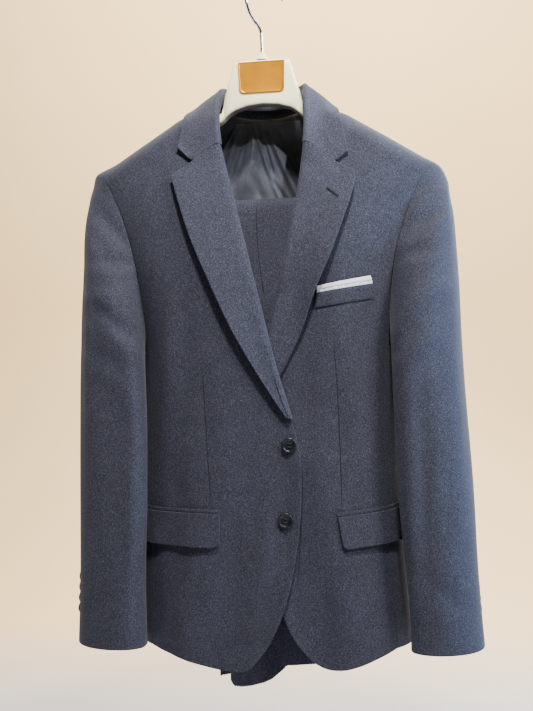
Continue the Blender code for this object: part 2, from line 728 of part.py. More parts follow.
def sleeve_point(angle, share, side):
    # a point of the sleeve: angle 0 looks outwards, 90 forwards; share 0 is the armhole seam
    ring = np.vstack([ARMHOLE, ARMHOLE[:1] + np.array([360, 0, 0, 0])])
    turn_back = np.array([360, 0, 0, 0])
    wrapped = np.vstack([ARMHOLE[-3:] - turn_back, ring, ARMHOLE[1:3] + turn_back])
    hole = smooth(wrapped, angle % 360)[0, 1:]
    turn = math.radians(angle)
    bottom = -0.9060 + 0.0040 * (1 - math.sin(turn)) * 0.5
    z = hole[2] + (bottom - hole[2]) * share
    row = smooth(SLEEVE, z)[0]
    outer, inner, middle, deep, lean = row[1:]
    # the inner half leans forwards across the body, and the outer half stays a plain oval
    centre = 0.5 * (outer + inner)
    c, s = math.cos(turn), math.sin(turn)
    within = 0.5 - 0.5 * c
    narrow = outer - centre if c > 0 else (centre - inner - 0.52 * lean) / 0.82
    x = centre + narrow * c - lean * s * within
    y = middle - deep * s
    # past the seam the head swells fast at the shoulder and slowly under the arm
    length = 0.060 + 0.150 * (0.5 - 0.5 * c) ** 0.8
    hold = (1 - min(1.0, share / length)) ** 2.4
    x = x * (1 - hold) + hole[0] * hold
    y = y * (1 - hold) + hole[1] * hold
    drift = (CUFF_DRIFT_OUT + (CUFF_DRIFT_IN - CUFF_DRIFT_OUT) * within) * float(ease(-z, 0.50, 0.90))
    return np.array([x * side + drift, y, z])


def sleeve_creases(angle, share, side):
    # soft breaks across the upper arm
    total = 0.0
    for at, where, deep, wide in SLEEVE_BREAKS:
        near = math.exp(-(((share - at - 0.0006 * (angle - where)) / wide) ** 2))
        total += deep * near * math.exp(-((((angle - where + 180) % 360 - 180) / 55) ** 2))
    return total


def sleeve_panel(name, side, turns, rows):
    shares = np.r_[0.0, 0.010, 0.024, 0.042, 0.066, np.linspace(0.10, 1.0, rows)]
    grid = np.array([[sleeve_point(a, s, side) for a in turns] for s in shares])
    # both edges keep clear of the armhole seam and of the seam between the two panels
    grid[0] += (grid[1] - grid[0]) / np.linalg.norm(grid[1] - grid[0], axis=1)[:, None] * 0.0006
    middle = math.radians(0.5 * (turns[0] + turns[-1]))
    outward = (math.cos(middle) * side, -math.sin(middle), 0)
    normal = face_normals(grid)
    if np.dot(normal[len(shares) // 2, len(turns) // 2], outward) < 0:
        normal = -normal
    for i, share in enumerate(shares):
        for j, angle in enumerate(turns):
            grid[i, j] -= normal[i, j] * sleeve_creases(angle, share, side)
    return wall(name, trimmed(grid, 0.0002), 0.0017, "cloth", outward)


def around_side(x, z):
    # turns a distance measured along the cloth from the middle into x where the body rounds away
    half = float(smooth(BODY, z)[0, 1])
    flat = half - 0.030
    over = abs(x) - flat
    if over <= 0:
        return x
    return math.copysign(flat + (half - flat) * math.sin(min(1.0, over / 0.055) * math.pi / 2), x)


def on_front(corners, side, rows, columns, high, foot, thick, name, colour, rounded=0.0):
    # a small piece laid on a front: corners run top inner, top outer, bottom outer, bottom inner
    a, b, c, d = [np.array(p) for p in corners]
    shares, steps = np.linspace(0, 1, rows), np.linspace(0, 1, columns)
    grid = np.zeros((rows, columns, 3))
    for i, v in enumerate(shares):
        for j, u in enumerate(steps):
            spot = (a * (1 - u) + b * u) * (1 - v) + (d * (1 - u) + c * u) * v
            if rounded:
                cut = max(0.0, 1 - u * np.linalg.norm(b - a) / rounded)
                spot = spot + (a - d) / np.linalg.norm(a - d) * v * rounded * (1 - math.sqrt(1 - cut**2))
            spot[0] = around_side(spot[0], spot[1])
            settle = 1 - 0.6 * float(ease(abs(spot[0]), 0.150, 0.176))
            lift = high + (foot - high) * v * settle
            plain = float(front_y(spot[0], spot[1]))
            grid[i, j] = lift_off((spot[0], plain, spot[1]), lift)
            grid[i, j, 1] += float(front_face(spot[0], spot[1], side)) - plain
    return wall(name, grid, thick, colour, (0, -1, 0))


def button(name, centre, axis, size, segments, fine):
    radius, deep = size / 2, size * 0.21
    profile = [(0.0, 0.0), (0.0, radius * 0.72), (deep * 0.30, radius * 0.94), (deep * 0.62, radius),
               (deep * 0.92, radius * 0.93), (deep, radius * 0.84), (deep * 0.90, radius * 0.74),
               (deep * 0.70, radius * 0.60), (deep * 0.64, 0.0)]
    if not fine:
        profile = [profile[k] for k in (0, 1, 3, 5, 7, 8)]
    return lathe(name, profile, centre, axis, segments, "button")


def tube(name, path, radius, sides, colour):
    # a round bar along a path of points
    path = np.array(path, float)
    ahead = np.gradient(path, axis=0)
    ahead /= np.linalg.norm(ahead, axis=1)[:, None]
    rings = []
    for spot, way in zip(path, ahead):
        first = np.cross(way, (0.0, 1.0, 0.0))
        first /= np.linalg.norm(first)
        second = np.cross(way, first)
        turns = 2 * math.pi * np.arange(sides) / sides
        rings.append([spot + radius * (first * math.cos(t) + second * math.sin(t)) for t in turns])
    return loft(name, rings, colour)


def make_hanger():
    widths = np.r_[-HANGER[::-1, 0], HANGER[1:, 0]]
    rings = []
    for x in widths:
        top, under, deep = HANGER[np.argmin(np.abs(HANGER[:, 0] - abs(x))), 1:]
        middle, tall = 0.5 * (top + under), 0.5 * (top - under)
        power = 0.35 if abs(x) < 0.056 else 0.92
        forward = -0.005 * max(0.0, (abs(x) - 0.12) / 0.10) ** 2
        ring = []
        for k in range(14):
            turn = 2 * math.pi * (k + 0.5) / 14
            c, s = math.cos(turn), math.sin(turn)
            y = RIDGE_Y * float(ease(abs(x), 0.060, 0.100)) + forward
            y += deep * math.copysign(abs(c) ** power, c)
            ring.append((x, y, middle + tall * math.copysign(abs(s) ** power, s)))
        rings.append(ring)
    loft("hanger_body", rings, "hanger", 40)
    plate = [(-0.0300, -0.1125), (0.0300, -0.1125), (0.0290, -0.1480), (0.0270, -0.1535), (0.0235, -0.1560),
             (-0.0235, -0.1560), (-0.0270, -0.1535), (-0.0290, -0.1480)]
    rings = [[(x, y, z) for x, z in plate] for y in (-0.0118, -0.0128)]
    rings.append([(x * 0.965, -0.0134, -0.134 + (z + 0.134) * 0.95) for x, z in plate])
    loft("hanger_plate", rings, "gold", 30)
    lathe("hanger_ferrule", [(0.0, 0.0092), (0.0030, 0.0088), (0.0075, 0.0052), (0.0105, 0.0044)],
          (0, 0, -0.1082), (0, 0, 1), 20, "hanger")
    # hook: straight stem, a sweep to the left, then a round loop that ends in a free tip
    centre = np.array([0.0055, -HOOK_LOOP + HOOK_WIRE / 2])
    stem = [(0.0, -0.0974), (0.0, -0.0900), (0.0, -0.0800), (-0.0005, -0.0700), (-0.0040, -0.0600),
            (-0.0105, -0.0500), (-0.0160, -0.0400)]
    turns = np.radians(np.linspace(196, -8, 19))
    loop = [(centre[0] + HOOK_LOOP * math.cos(t), centre[1] + HOOK_LOOP * math.sin(t)) for t in turns]
    tube("hanger_hook", [(x, 0.0, z) for x, z in stem + loop], HOOK_WIRE / 2, 10, "chrome")
    corner = 0.012
    reach = 0.186
    arc = [(reach - corner + corner * math.sin(t), BAR_Z + corner - corner * math.cos(t))
           for t in np.radians([0, 22, 45, 68, 90])]
    arc = [(x, BAR_Z) for x in (0.058, 0.085, 0.112)] + arc
    right = [(x, RIDGE_Y - 0.0005, z) for x, z in arc] + [(reach, RIDGE_Y - 0.0005, -0.2688)]
    path = [(-x, y, z) for x, y, z in right[::-1]] + right
    tube("hanger_bar", path, BAR_RADIUS, 12, "hanger")


def leg_path(reach, foot_y, foot_z, tail_z, tail_y):
    # middle line of a folded leg: up the front, over the bar and down behind it
    rise = [(foot_y + (RIDGE_Y - reach - foot_y) * t, foot_z + (BAR_Z - foot_z) * t)
            for t in np.linspace(0, 1, 7)]
    over = [(RIDGE_Y - reach * math.cos(t), BAR_Z + reach * math.sin(t))
            for t in np.radians([22, 45, 67, 90, 113, 135, 158])]
    fall = [(RIDGE_Y + reach + (tail_y - RIDGE_Y - reach) * t, BAR_Z + (tail_z - BAR_Z) * t)
            for t in np.linspace(0, 1, 4)]
    return np.array(rise + over + fall)


def edge_turn(x, deep, y=0.0):
    # the three points that round a flat tube's edge at x, from its front face to its back face
    inside = x - math.copysign(deep * 0.3, x)
    return [(inside, y + deep * 0.7), (x, y), (inside, y - deep * 0.7)]


def strap(name, path, left, right, thick, foot, recess):
    # a pressed leg: a flat tube with round edges along a path in the YZ plane
    ahead = np.gradient(path, axis=0)
    ahead /= np.linalg.norm(ahead, axis=1)[:, None]
    steps = np.r_[0.0, np.cumsum(np.linalg.norm(np.diff(path, axis=0), axis=1))]
    steps /= steps[-1]
    count = 5

    def ring_at(i, thin=0.0, lift=0.0):
        normal = np.array([-ahead[i][1], ahead[i][0]])
        low, high = left(steps[i]) + thin, right(steps[i]) - thin
        deep = thick / 2 - thin
        ring = []
        spread = np.linspace(low + deep, high - deep, count)
        around = [(x, deep) for x in spread] + edge_turn(high, deep)
        around += [(x, -deep) for x in spread[::-1]] + edge_turn(low, deep)[::-1]
        for x, off in around:
            drop = foot(x) if i == 0 else 0.0
            way = ahead[i] * lift
            y = path[i][0] + normal[0] * off + way[0]
            z = path[i][1] + normal[1] * off + way[1] + drop
            ring.append((x, y, z))
        return ring

    rings = [ring_at(i) for i in range(len(path))]
    inside = [ring_at(0, 0.0011), ring_at(0, 0.0011, recess)]
    return loft(name, rings, "cloth", 50, inside)


LEG_END = np.array([
    # x, rise of the outer leg's raw edge, rise of the inner leg's
    [-0.150, 0.016, 0.000],
    [-0.077, 0.016, 0.000],
    [-0.061, 0.014, 0.003],
    [-0.056, 0.005, 0.010],
    [-0.045, 0.004, 0.022],
    [-0.031, 0.006, 0.032],
    [-0.015, 0.010, 0.036],
    [-0.003, 0.016, 0.038],
    [0.009, 0.026, 0.040],
    [0.017, 0.034, 0.043],
    [0.056, 0.037, 0.046],
    [0.074, 0.052, 0.058],
    [0.150, 0.056, 0.062],
])


def make_trousers():
    inner = BAR_RADIUS + 0.0008 + LEG_THICK / 2
    outer = inner + LEG_THICK + 0.0008
    strap("trouser_leg_outer", leg_path(outer, -0.0330, -0.9730, -0.5200, 0.0220),
          lambda t: -0.0610 - 0.0480 * ease(t, 0.0, 0.55), lambda t: 0.1370 - 0.0260 * ease(t, 0.0, 0.55),
          LEG_THICK, lambda x: float(np.interp(x, LEG_END[:, 0], LEG_END[:, 1])), 0.060)
    strap("trouser_leg_inner", leg_path(inner, -0.0255, -0.9570, -0.5200, 0.0145),
          lambda t: -0.0770 - 0.0300 * ease(t, 0.0, 0.5), lambda t: 0.1250 - 0.0160 * ease(t, 0.0, 0.5),
          LEG_THICK, lambda x: float(np.interp(x, LEG_END[:, 0], LEG_END[:, 2])), 0.060)
    # seat and waistband hang behind the bar, folded in half along the creases
    seat = []
    for z, low, high, deep in ((-0.5206, -0.112, 0.112, 0.0062), (-0.560, -0.122, 0.122, 0.0080),
                               (-0.610, -0.126, 0.126, 0.0090), (-0.6594, -0.120, 0.120, 0.0085)):
        seat.append(flat_ring(z, low, high, 0.0185, deep))
    loft("trouser_seat", seat, "cloth")
    band = [flat_ring(z, -0.1205, 0.1205, 0.0185, 0.0092) for z in (-0.6600, -0.6800, -0.6990)]
    loft("trouser_waistband", band, "cloth")


def flat_ring(z, low, high, y, deep):
    spread = np.linspace(low + deep, high - deep, 7)
    ring = [(x, y + deep) for x in spread] + edge_turn(high, deep, y)
    ring += [(x, y - deep) for x in spread[::-1]] + edge_turn(low, deep, y)[::-1]
    return [(x, at, z) for x, at in ring]


def back_lining():
    # satin inside the back, with two soft folds that fan out from the neck
    rows, columns = np.linspace(0, 1, 12), np.linspace(-1, 1, 12)
    grid = np.zeros((len(rows), len(columns), 3))
    for i, v in enumerate(rows):
        z = -0.1840 - 0.6870 * v
        half = float(np.interp(v, *LINING_WIDTH))
        for j, u in enumerate(columns):
            x = half * u
            y = float(back_y(x, z)) - CLOTH - 0.0020
            fan = 0.0050 * (math.sin(7.5 * u + 0.4) + 0.6 * math.sin(13 * u))
            fan *= (1 - ease(v, 0.45, 0.9)) * ease(v, 0.0, 0.10)
            y -= 0.0080 * (1 - ease(v, 0.5, 0.9)) * ease(v, 0, 0.1) + 0.0035 * (1 - ease(v, 0, 0.12))
            grid[i, j] = (x, y + fan, z)
    return wall("back_lining", grid, LINING, "lining", (0, -1, 0))


def make_jacket():
    front_panel("front_right", -1, RIGHT_EDGE, RIGHT_HEM)
    front_panel("front_left", 1, LEFT_EDGE, LEFT_HEM)
    for side, word in ((-1, "right"), (1, "left")):
        side_panel(f"side_{word}", side)
        back_panel(f"back_{word}", side)
        sleeve_panel(f"sleeve_top_{word}", side, TOP_SLEEVE, 11)
        sleeve_panel(f"sleeve_under_{word}", side, UNDER_SLEEVE, 11)
    lapel("lapel_right", -1, RIGHT_EDGE, RIGHT_LAPEL, (-0.0520, -0.2360), 0.0065)
    lapel("lapel_left", 1, LEFT_EDGE, LEFT_LAPEL, (0.0598, -0.2404), 0.0042, 0.85)
    collar()
    back_lining()
    for side, word in ((-1, "right"), (1, "left")):
        corners = FLAPS[side]
        on_front(corners, side, 6, 15, 0.0037, 0.0068, TURNED, f"flap_{word}", "cloth", 0.011)
        above = [np.array(corners[0]), np.array(corners[1]) - (0.003 * side, 0)]
        up = np.array([0.0, 0.0052])
        raised = (above[0] + up, above[1] + up, above[1] + up * 0.07, above[0] + up * 0.07)
        on_front(raised, side, 2, 15, 0.0027, 0.0027, 0.0016, f"jetting_{word}", "cloth")
    on_front(WELT, 1, 4, 8, 0.0027, 0.0027, 0.0020, "breast_welt", "cloth")
    on_front(SQUARE, 1, 3, 8, 0.0018, 0.0018, 0.0012, "pocket_square", "linen")
    for word, x, z in (("upper", 0.0335, -0.6360), ("lower", 0.0260, -0.7340)):
        y = float(front_face(x, z, -1)) - 0.0011
        button(f"button_{word}", (x, y, z), (0, -1, 0), FRONT_BUTTON, 20, True)
    for side, word in ((-1, "right"), (1, "left")):
        turn = CUFF_BUTTON_TURN[word]
        for k in range(4):
            share = 0.9360 - 0.0225 * k
            spot = sleeve_point(turn, share, side)
            across = sleeve_point(turn + 8, share, side) - sleeve_point(turn - 8, share, side)
            down = sleeve_point(turn, share + 0.01, side) - sleeve_point(turn, share - 0.01, side)
            axis = np.cross(across, down)
            axis /= np.linalg.norm(axis)
            if axis[0] * side < 0:
                axis = -axis
            button(f"cuff_button_{word}_{k + 1}", spot + axis * 0.0006, tuple(axis), CUFF_BUTTON, 10, False)


clear_scene()
make_hanger()
make_trousers()
make_jacket()
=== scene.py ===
import math

import bpy
import numpy as np
from mathutils import Matrix, Vector
from mathutils.bvhtree import BVHTree


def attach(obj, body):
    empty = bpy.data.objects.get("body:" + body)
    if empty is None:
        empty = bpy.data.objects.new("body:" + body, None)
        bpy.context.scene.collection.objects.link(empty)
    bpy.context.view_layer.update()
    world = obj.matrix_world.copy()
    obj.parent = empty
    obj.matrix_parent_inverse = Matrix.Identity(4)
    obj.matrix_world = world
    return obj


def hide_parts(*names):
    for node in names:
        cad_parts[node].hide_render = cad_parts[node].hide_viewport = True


# A suit on its hanger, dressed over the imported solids. Metres, front towards -Y, the wearer's left is +X.
# Points on the cloth are given as x and z, seen from the front, unless a table says otherwise.
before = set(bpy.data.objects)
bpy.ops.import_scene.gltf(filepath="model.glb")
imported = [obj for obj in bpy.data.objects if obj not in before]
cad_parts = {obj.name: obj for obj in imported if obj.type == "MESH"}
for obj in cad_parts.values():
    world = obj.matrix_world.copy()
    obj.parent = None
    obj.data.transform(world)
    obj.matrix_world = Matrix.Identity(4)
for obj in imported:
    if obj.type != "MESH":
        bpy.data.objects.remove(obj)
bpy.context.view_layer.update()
print("solids loaded:", len(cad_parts))


# curves and grids

def readTable(table, at):
    # smooth curve through a table's rows, read at one or many places of its first column
    keys = table[:, 0]
    order = np.argsort(keys)
    keys, rows = keys[order], table[order]
    gaps = np.diff(keys)[:, None]
    steep = np.diff(rows, axis=0) / gaps
    tangents = np.vstack([steep[:1], 0.5 * (steep[1:] + steep[:-1]), steep[-1:]])
    flat = np.zeros_like(tangents, dtype=bool)
    flat[1:-1] = steep[1:] * steep[:-1] <= 0
    tangents[flat] = 0.0
    at = np.clip(np.atleast_1d(at), keys[0], keys[-1])
    span = np.clip(np.searchsorted(keys, at, side="right") - 1, 0, len(keys) - 2)
    width = (keys[span + 1] - keys[span])[:, None]
    t = (at - keys[span])[:, None] / width
    low, high = rows[span], rows[span + 1]
    first = (2 * t**3 - 3 * t**2 + 1) * low + (t**3 - 2 * t**2 + t) * width * tangents[span]
    last = (3 * t**2 - 2 * t**3) * high + (t**3 - t**2) * width * tangents[span + 1]
    return first + last


def lengthsAlong(points):
    # distance of each point from the first, along the line
    return np.r_[0.0, np.cumsum(np.linalg.norm(np.diff(points, axis=0), axis=1))]


def alongCurve(points, shares):
    # points at shares of the length of a smooth curve through the given points
    steps = lengthsAlong(points)
    table = np.column_stack([steps / steps[-1], points])
    return readTable(table, shares)[:, 1:]


def ease(value, low, high):
    # 0 below low, 1 above high and a soft step between them
    t = np.clip((value - low) / (high - low), 0, 1)
    return t * t * (3 - 2 * t)


def unit(vectors):
    # the same directions, each of length 1
    return vectors / np.linalg.norm(vectors, axis=-1, keepdims=True)


def slopesOf(grid, axis):
    # central differences, with the curve's own bend carried to both ends
    made = np.gradient(grid, axis=axis)
    if grid.shape[axis] < 3:
        return made
    for end, near in ((0, 1), (-1, -2)):
        here, inside = [slice(None)] * 3, [slice(None)] * 3
        here[axis], inside[axis] = end, near
        made[tuple(here)] = 2 * unit(made[tuple(here)]) - unit(made[tuple(inside)])
    return made


def faceNormals(grid):
    return unit(np.cross(slopesOf(grid, 1), slopesOf(grid, 0)))


def blendPatch(top, bottom, start, end, rows, columns):
    # blends a flat grid between four border curves given as functions of a share
    grid = np.zeros((len(rows), len(columns), 2))
    upper, lower = top(columns), bottom(columns)
    near, far = start(rows), end(rows)
    for i, v in enumerate(rows):
        for j, u in enumerate(columns):
            ruled = (1 - u) * near[i] + u * far[i] + (1 - v) * upper[j] + v * lower[j]
            corners = ((1 - u) * (1 - v) * near[0] + u * (1 - v) * far[0]
                       + (1 - u) * v * near[-1] + u * v * far[-1])
            grid[i, j] = ruled - corners
    return grid


# rows set close where the cloth rounds over the shoulder
shoulderSteps = (0.0, 0.0035, 0.010, 0.020, 0.034, 0.052)


def shoulderRows(count):
    rest = np.linspace(shoulderSteps[-1], 1.0, count - len(shoulderSteps) + 1)[1:]
    return np.r_[shoulderSteps, rest]


def mirrored(table, side):
    made = table.copy()
    made[:, 0] = np.abs(made[:, 0]) * side
    return made


def withCorner(rows, table, index):
    # moves the nearest row onto the corner where the armhole meets the side seam
    steps = lengthsAlong(table)
    share = steps[index] / steps[-1]
    made = rows.copy()
    made[np.argmin(np.abs(rows - share))] = share
    return made


def trimmed(grid, gap=0.0002, top=None):
    # draws a panel's edges back from their seam lines
    made = grid.copy()
    for near, far in ((0, 1), (-1, -2)):
        pull = top if top is not None and near == 0 else gap
        made[near] = grid[near] + unit(grid[far] - grid[near]) * pull
    for near, far in ((0, 1), (-1, -2)):
        made[:, near] = made[:, near] + unit(made[:, far] - made[:, near]) * gap
    return made


def throughKnots(knots, lines, wanted):
    # smooth curves through rows of points at uneven knots, read at the wanted places
    gaps = np.diff(knots)
    shape = (-1,) + (1,) * (lines.ndim - 1)
    steps = np.diff(lines, axis=0) / gaps.reshape(shape)
    way = np.empty_like(lines)
    if len(knots) > 2:
        share = (gaps[:-1] / (gaps[:-1] + gaps[1:])).reshape(shape)
        way[1:-1] = steps[:-1] * (1 - share) + steps[1:] * share
        way[0] = 1.5 * steps[0] - 0.5 * way[1]
        way[-1] = 1.5 * steps[-1] - 0.5 * way[-2]
    else:
        way[:] = steps[0]
    span = np.clip(np.searchsorted(knots, wanted, side="right") - 1, 0, len(knots) - 2)
    wide = gaps[span].reshape(shape)
    t = ((wanted - knots[span]) / gaps[span]).reshape(shape)
    low, high = lines[span], lines[span + 1]
    start = (2 * t**3 - 3 * t**2 + 1) * low + (t**3 - 2 * t**2 + t) * wide * way[span]
    return start + (3 * t**2 - 2 * t**3) * high + (t**3 - t**2) * wide * way[span + 1]


gridLimits = {"closest": 0.0005, "narrow": 0.02}    # rows nearer than closest are left out


def spaced(knots, step):
    # the knots, and places between them about a step apart
    places = [0.0]
    for low, high in zip(knots[:-1], knots[1:]):
        count = max(1, int(round((high - low) / step)))
        places += list(low + (high - low) * np.arange(1, count + 1) / count)
    return places


def refine(grid, step, borders=(0.0009, 0.0026)):
    # a finer grid through the same points, closer at the borders of all but narrow strips
    for axis in (0, 1):
        lines = np.moveaxis(grid, axis, 0)
        gaps = np.linalg.norm(np.diff(lines, axis=0), axis=2).mean(axis=1)
        knots = np.r_[0.0, np.cumsum(gaps)]
        places = spaced(knots, step)
        if knots[-1] > gridLimits["narrow"]:
            for off in borders:
                places += [off, knots[-1] - off]
        kept = [0.0]
        for place in sorted(places):
            if min(place - kept[-1], knots[-1] - place) > gridLimits["closest"]:
                kept.append(place)
        kept.append(knots[-1])
        grid = np.moveaxis(throughKnots(knots, lines, np.array(kept)), 0, axis)
    return grid


def areaOf(grid):
    one = np.cross(grid[1:, :-1] - grid[:-1, :-1], grid[:-1, 1:] - grid[:-1, :-1])
    two = np.cross(grid[:-1, 1:] - grid[1:, 1:], grid[1:, :-1] - grid[1:, 1:])
    return 0.5 * (np.linalg.norm(one, axis=2).sum() + np.linalg.norm(two, axis=2).sum())


def turnedTo(grid, outward):
    # unit normals of a grid, all on the side that outward looks to
    normal = faceNormals(grid)
    middle = normal[grid.shape[0] // 2, grid.shape[1] // 2]
    return normal if np.dot(middle, outward) > 0 else -normal


def edgeFade(grid, held, wide=0.014):
    # 0 on the held borders and 1 away from them; held names top, bottom, first and last
    rows, columns = grid.shape[:2]
    fade = np.ones((rows, columns))
    down = np.r_[0, np.cumsum(np.linalg.norm(np.diff(grid, axis=0), axis=2).mean(axis=1))]
    across = np.zeros((rows, columns))
    across[:, 1:] = np.cumsum(np.linalg.norm(np.diff(grid, axis=1), axis=2), axis=1)
    if "top" in held:
        fade *= ease(down, 0, wide)[:, None]
    if "bottom" in held:
        fade *= ease(down[-1] - down, 0, wide)[:, None]
    if "first" in held:
        fade *= ease(across, 0, wide)
    if "last" in held:
        fade *= ease(across[:, -1:] - across, 0, wide)
    return fade


def creaseDepth(flat, marks):
    # how far marks press a surface in; a mark is x, z, x, z, width, depth, and a depth below 0 is a ridge
    total = np.zeros(flat.shape[:2])
    for x0, z0, x1, z1, wide, deep in marks:
        start, way = np.array([x0, z0]), np.array([x1 - x0, z1 - z0])
        size = np.linalg.norm(way)
        share = ((flat - start) @ way) / size**2
        aside = ((flat - start) @ np.array([-way[1], way[0]])) / size
        over = np.maximum(0, np.maximum(-share, share - 1)) * size
        ends = np.exp(-((over / (2.2 * wide)) ** 2))
        near = np.exp(-((aside / wide) ** 2)) * ends
        shoulder = np.exp(-(((np.abs(aside) - 2.0 * wide) / (0.9 * wide)) ** 2)) * ends
        taper = 0.45 + 0.55 * np.sin(math.pi * np.clip(share, 0, 1))
        total += deep * taper * (near - 0.30 * shoulder)
    return total


def unevenness(flat, seed, size, height, swells=7):
    # slow swells that no two pieces of cloth share
    rng = np.random.default_rng(seed)
    total = np.zeros(flat.shape[:2])
    for _ in range(swells):
        turn = rng.uniform(0, 2 * math.pi)
        pace = 2 * math.pi / size * rng.uniform(0.5, 1.5)
        total += np.sin((flat[..., 0] * math.cos(turn) + 0.45 * flat[..., 1] * math.sin(turn)) * pace
                        + rng.uniform(0, 6.28))
    return total / swells * 2 * height


def joinFaces(rows, columns, start, flip):
    # four-sided faces of a grid of points
    base = np.arange(rows * columns).reshape(rows, columns) + start
    a, b, c, d = base[:-1, :-1], base[:-1, 1:], base[1:, 1:], base[1:, :-1]
    order = (a, d, c, b) if flip else (a, b, c, d)
    return np.stack([v.ravel() for v in order], axis=1)


hanging = {"tilt": 0.0032, "from": 0.060, "to": 0.115, "high": 0.30, "low": 0.41}
# the padded end of each shoulder stands out in a corner: its place, reach and how far it is drawn
shoulderEnd = {"x": 0.2300, "y": 0.0, "z": -0.2590, "reach": 0.0165, "deep": 0.034,
               -1: (0.0110, 0.0008), 1: (0.0085, -0.0040)}
# the wearer's right side of the body is fuller at the hip
fuller = {"pieces": ("front_right", "side_right", "back_right", "flap_right", "jetting_right"),
          "out": 0.0042, "from": 0.115, "to": 0.165, "z": -0.690, "tall": 0.130}


def tiltAt(points):
    # the suit tips a little on its hook: lower on the wearer's left, most at the shoulders
    across = ease(np.abs(points[:, 0]), hanging["from"], hanging["to"]) * np.sign(points[:, 0])
    return hanging["tilt"] * across * (1 - ease(-points[:, 2], hanging["high"], hanging["low"]))


def hang(name, points):
    # moves a piece's points to where they hang: fuller hip, squared shoulder ends, tilt
    x, y, z = points.T
    if name in fuller["pieces"]:
        near = np.exp(-(((z - fuller["z"]) / fuller["tall"]) ** 2))
        points[:, 0] -= fuller["out"] * ease(-x, fuller["from"], fuller["to"]) * near
    for side in (-1, 1):
        across, down = x * side - shoulderEnd["x"], z - shoulderEnd["z"]
        away = (across ** 2 + down ** 2) / shoulderEnd["reach"] ** 2
        pull = np.exp(-away - ((y - shoulderEnd["y"]) / shoulderEnd["deep"]) ** 2) * (x * side > 0)
        points[:, 0] += pull * side * shoulderEnd[side][0]
        points[:, 2] += pull * shoulderEnd[side][1]
    points[:, 2] -= tiltAt(points)


def meshFrom(name, points, faces, materials, sharp, slots=None, tip=True):
    points = np.array(points, float)
    if tip:
        hang(name, points)
    mesh = bpy.data.meshes.new(name)
    mesh.from_pydata(points.tolist(), [], [tuple(int(k) for k in f) for f in faces])
    for made in materials:
        mesh.materials.append(made)
    if slots is not None:
        mesh.polygons.foreach_set("material_index", np.asarray(slots, dtype=np.int32))
    mesh.shade_smooth()
    mesh.set_sharp_from_angle(angle=math.radians(sharp))
    mesh.update()
    made = bpy.data.objects.new(name, mesh)
    bpy.context.scene.collection.objects.link(made)
    return made


def shell(name, grid, normal, thick, materials, sink, sharp=55):
    # a thin closed sheet: its borders roll in a little, which draws the seam between two panels;
    # a second material is for the inner face
    rows, columns = grid.shape[:2]
    outer = grid.copy()
    for rim in (np.s_[0, :], np.s_[-1, :], np.s_[:, 0], np.s_[:, -1]):
        outer[rim] -= normal[rim] * sink
    inner = grid - normal * thick
    count = rows * columns
    i, j = rows // 2, columns // 2
    flip = np.dot(np.cross(grid[i, j] - grid[i - 1, j], grid[i, j] - grid[i, j - 1]), normal[i, j]) > 0
    near = joinFaces(rows, columns, 0, flip)
    far = joinFaces(rows, columns, count, not flip)
    base = np.arange(count).reshape(rows, columns)
    rim = np.r_[base[0, :-1], base[:-1, -1], base[-1, :0:-1], base[:0:-1, 0]]
    nextOne = np.roll(rim, -1)
    side = np.stack([rim, nextOne, nextOne + count, rim + count], axis=1)
    if not flip:
        side = side[:, ::-1]
    faces = np.vstack([near, far, side])
    slots = np.r_[np.zeros(len(near)), np.ones(len(far)) * (len(materials) > 1), np.zeros(len(side))]
    points = np.vstack([outer.reshape(-1, 3), inner.reshape(-1, 3)])
    return meshFrom(name, points, faces, materials, sharp, slots)


def ringSkin(name, rings, materials, closed=False, sharp=50):
    # rings joined into a skin; closed joins the last ring to the first, else both ends are capped
    rings = np.asarray(rings)
    count, size = rings.shape[:2]
    faces = []
    for i in range(count if closed else count - 1):
        n = (i + 1) % count
        for j in range(size):
            k = (j + 1) % size
            faces.append((i * size + j, i * size + k, n * size + k, n * size + j))
    if not closed:
        faces.append(tuple(range(size))[::-1])
        faces.append(tuple((count - 1) * size + j for j in range(size)))
    return outwards(meshFrom(name, rings.reshape(-1, 3), faces, materials, sharp))


def outwards(made):
    # turns a closed skin's faces outward
    mesh = made.data
    mesh.calc_loop_triangles()
    points = np.array([v.co for v in mesh.vertices])
    tri = np.array([t.vertices for t in mesh.loop_triangles])
    a, b, c = points[tri[:, 0]], points[tri[:, 1]], points[tri[:, 2]]
    if np.einsum("ij,ij->i", a, np.cross(b, c)).sum() < 0:
        mesh.flip_normals()
    return made


def framed(axis):
    # a unit axis and two unit directions across it
    axis = np.array(axis, float) / np.linalg.norm(axis)
    helper = np.array([0, 0, 1.0]) if abs(axis[2]) < 0.9 else np.array([1.0, 0, 0])
    first = np.cross(helper, axis)
    first /= np.linalg.norm(first)
    return axis, first, np.cross(axis, first)


def turnedProfile(name, profile, centre, axis, segments, materials, sharp=40):
    # turns (height, radius) pairs round an axis
    axis, first, second = framed(axis)
    turns = np.linspace(0, 2 * math.pi, segments, endpoint=False)
    out = np.outer(np.cos(turns), first) + np.outer(np.sin(turns), second)
    rings = [np.array(centre) + axis * height + out * max(radius, 1e-5) for height, radius in profile]
    return ringSkin(name, rings, materials, sharp=sharp)


def roundBar(name, path, radius, sides, materials):
    # a round bar along a path
    path = np.array(path, float)
    ahead = unit(np.gradient(path, axis=0))
    turns = np.linspace(0, 2 * math.pi, sides, endpoint=False)
    guide = np.array([0, 1.0, 0]) if abs(ahead[0][1]) < 0.8 else np.array([1.0, 0, 0])
    rings = []
    for spot, way in zip(path, ahead):
        first = guide - way * np.dot(guide, way)
        first /= np.linalg.norm(first)
        second = np.cross(way, first)
        guide = first
        rings.append(spot + radius * (np.outer(np.cos(turns), first) + np.outer(np.sin(turns), second)))
    return ringSkin(name, rings, materials)


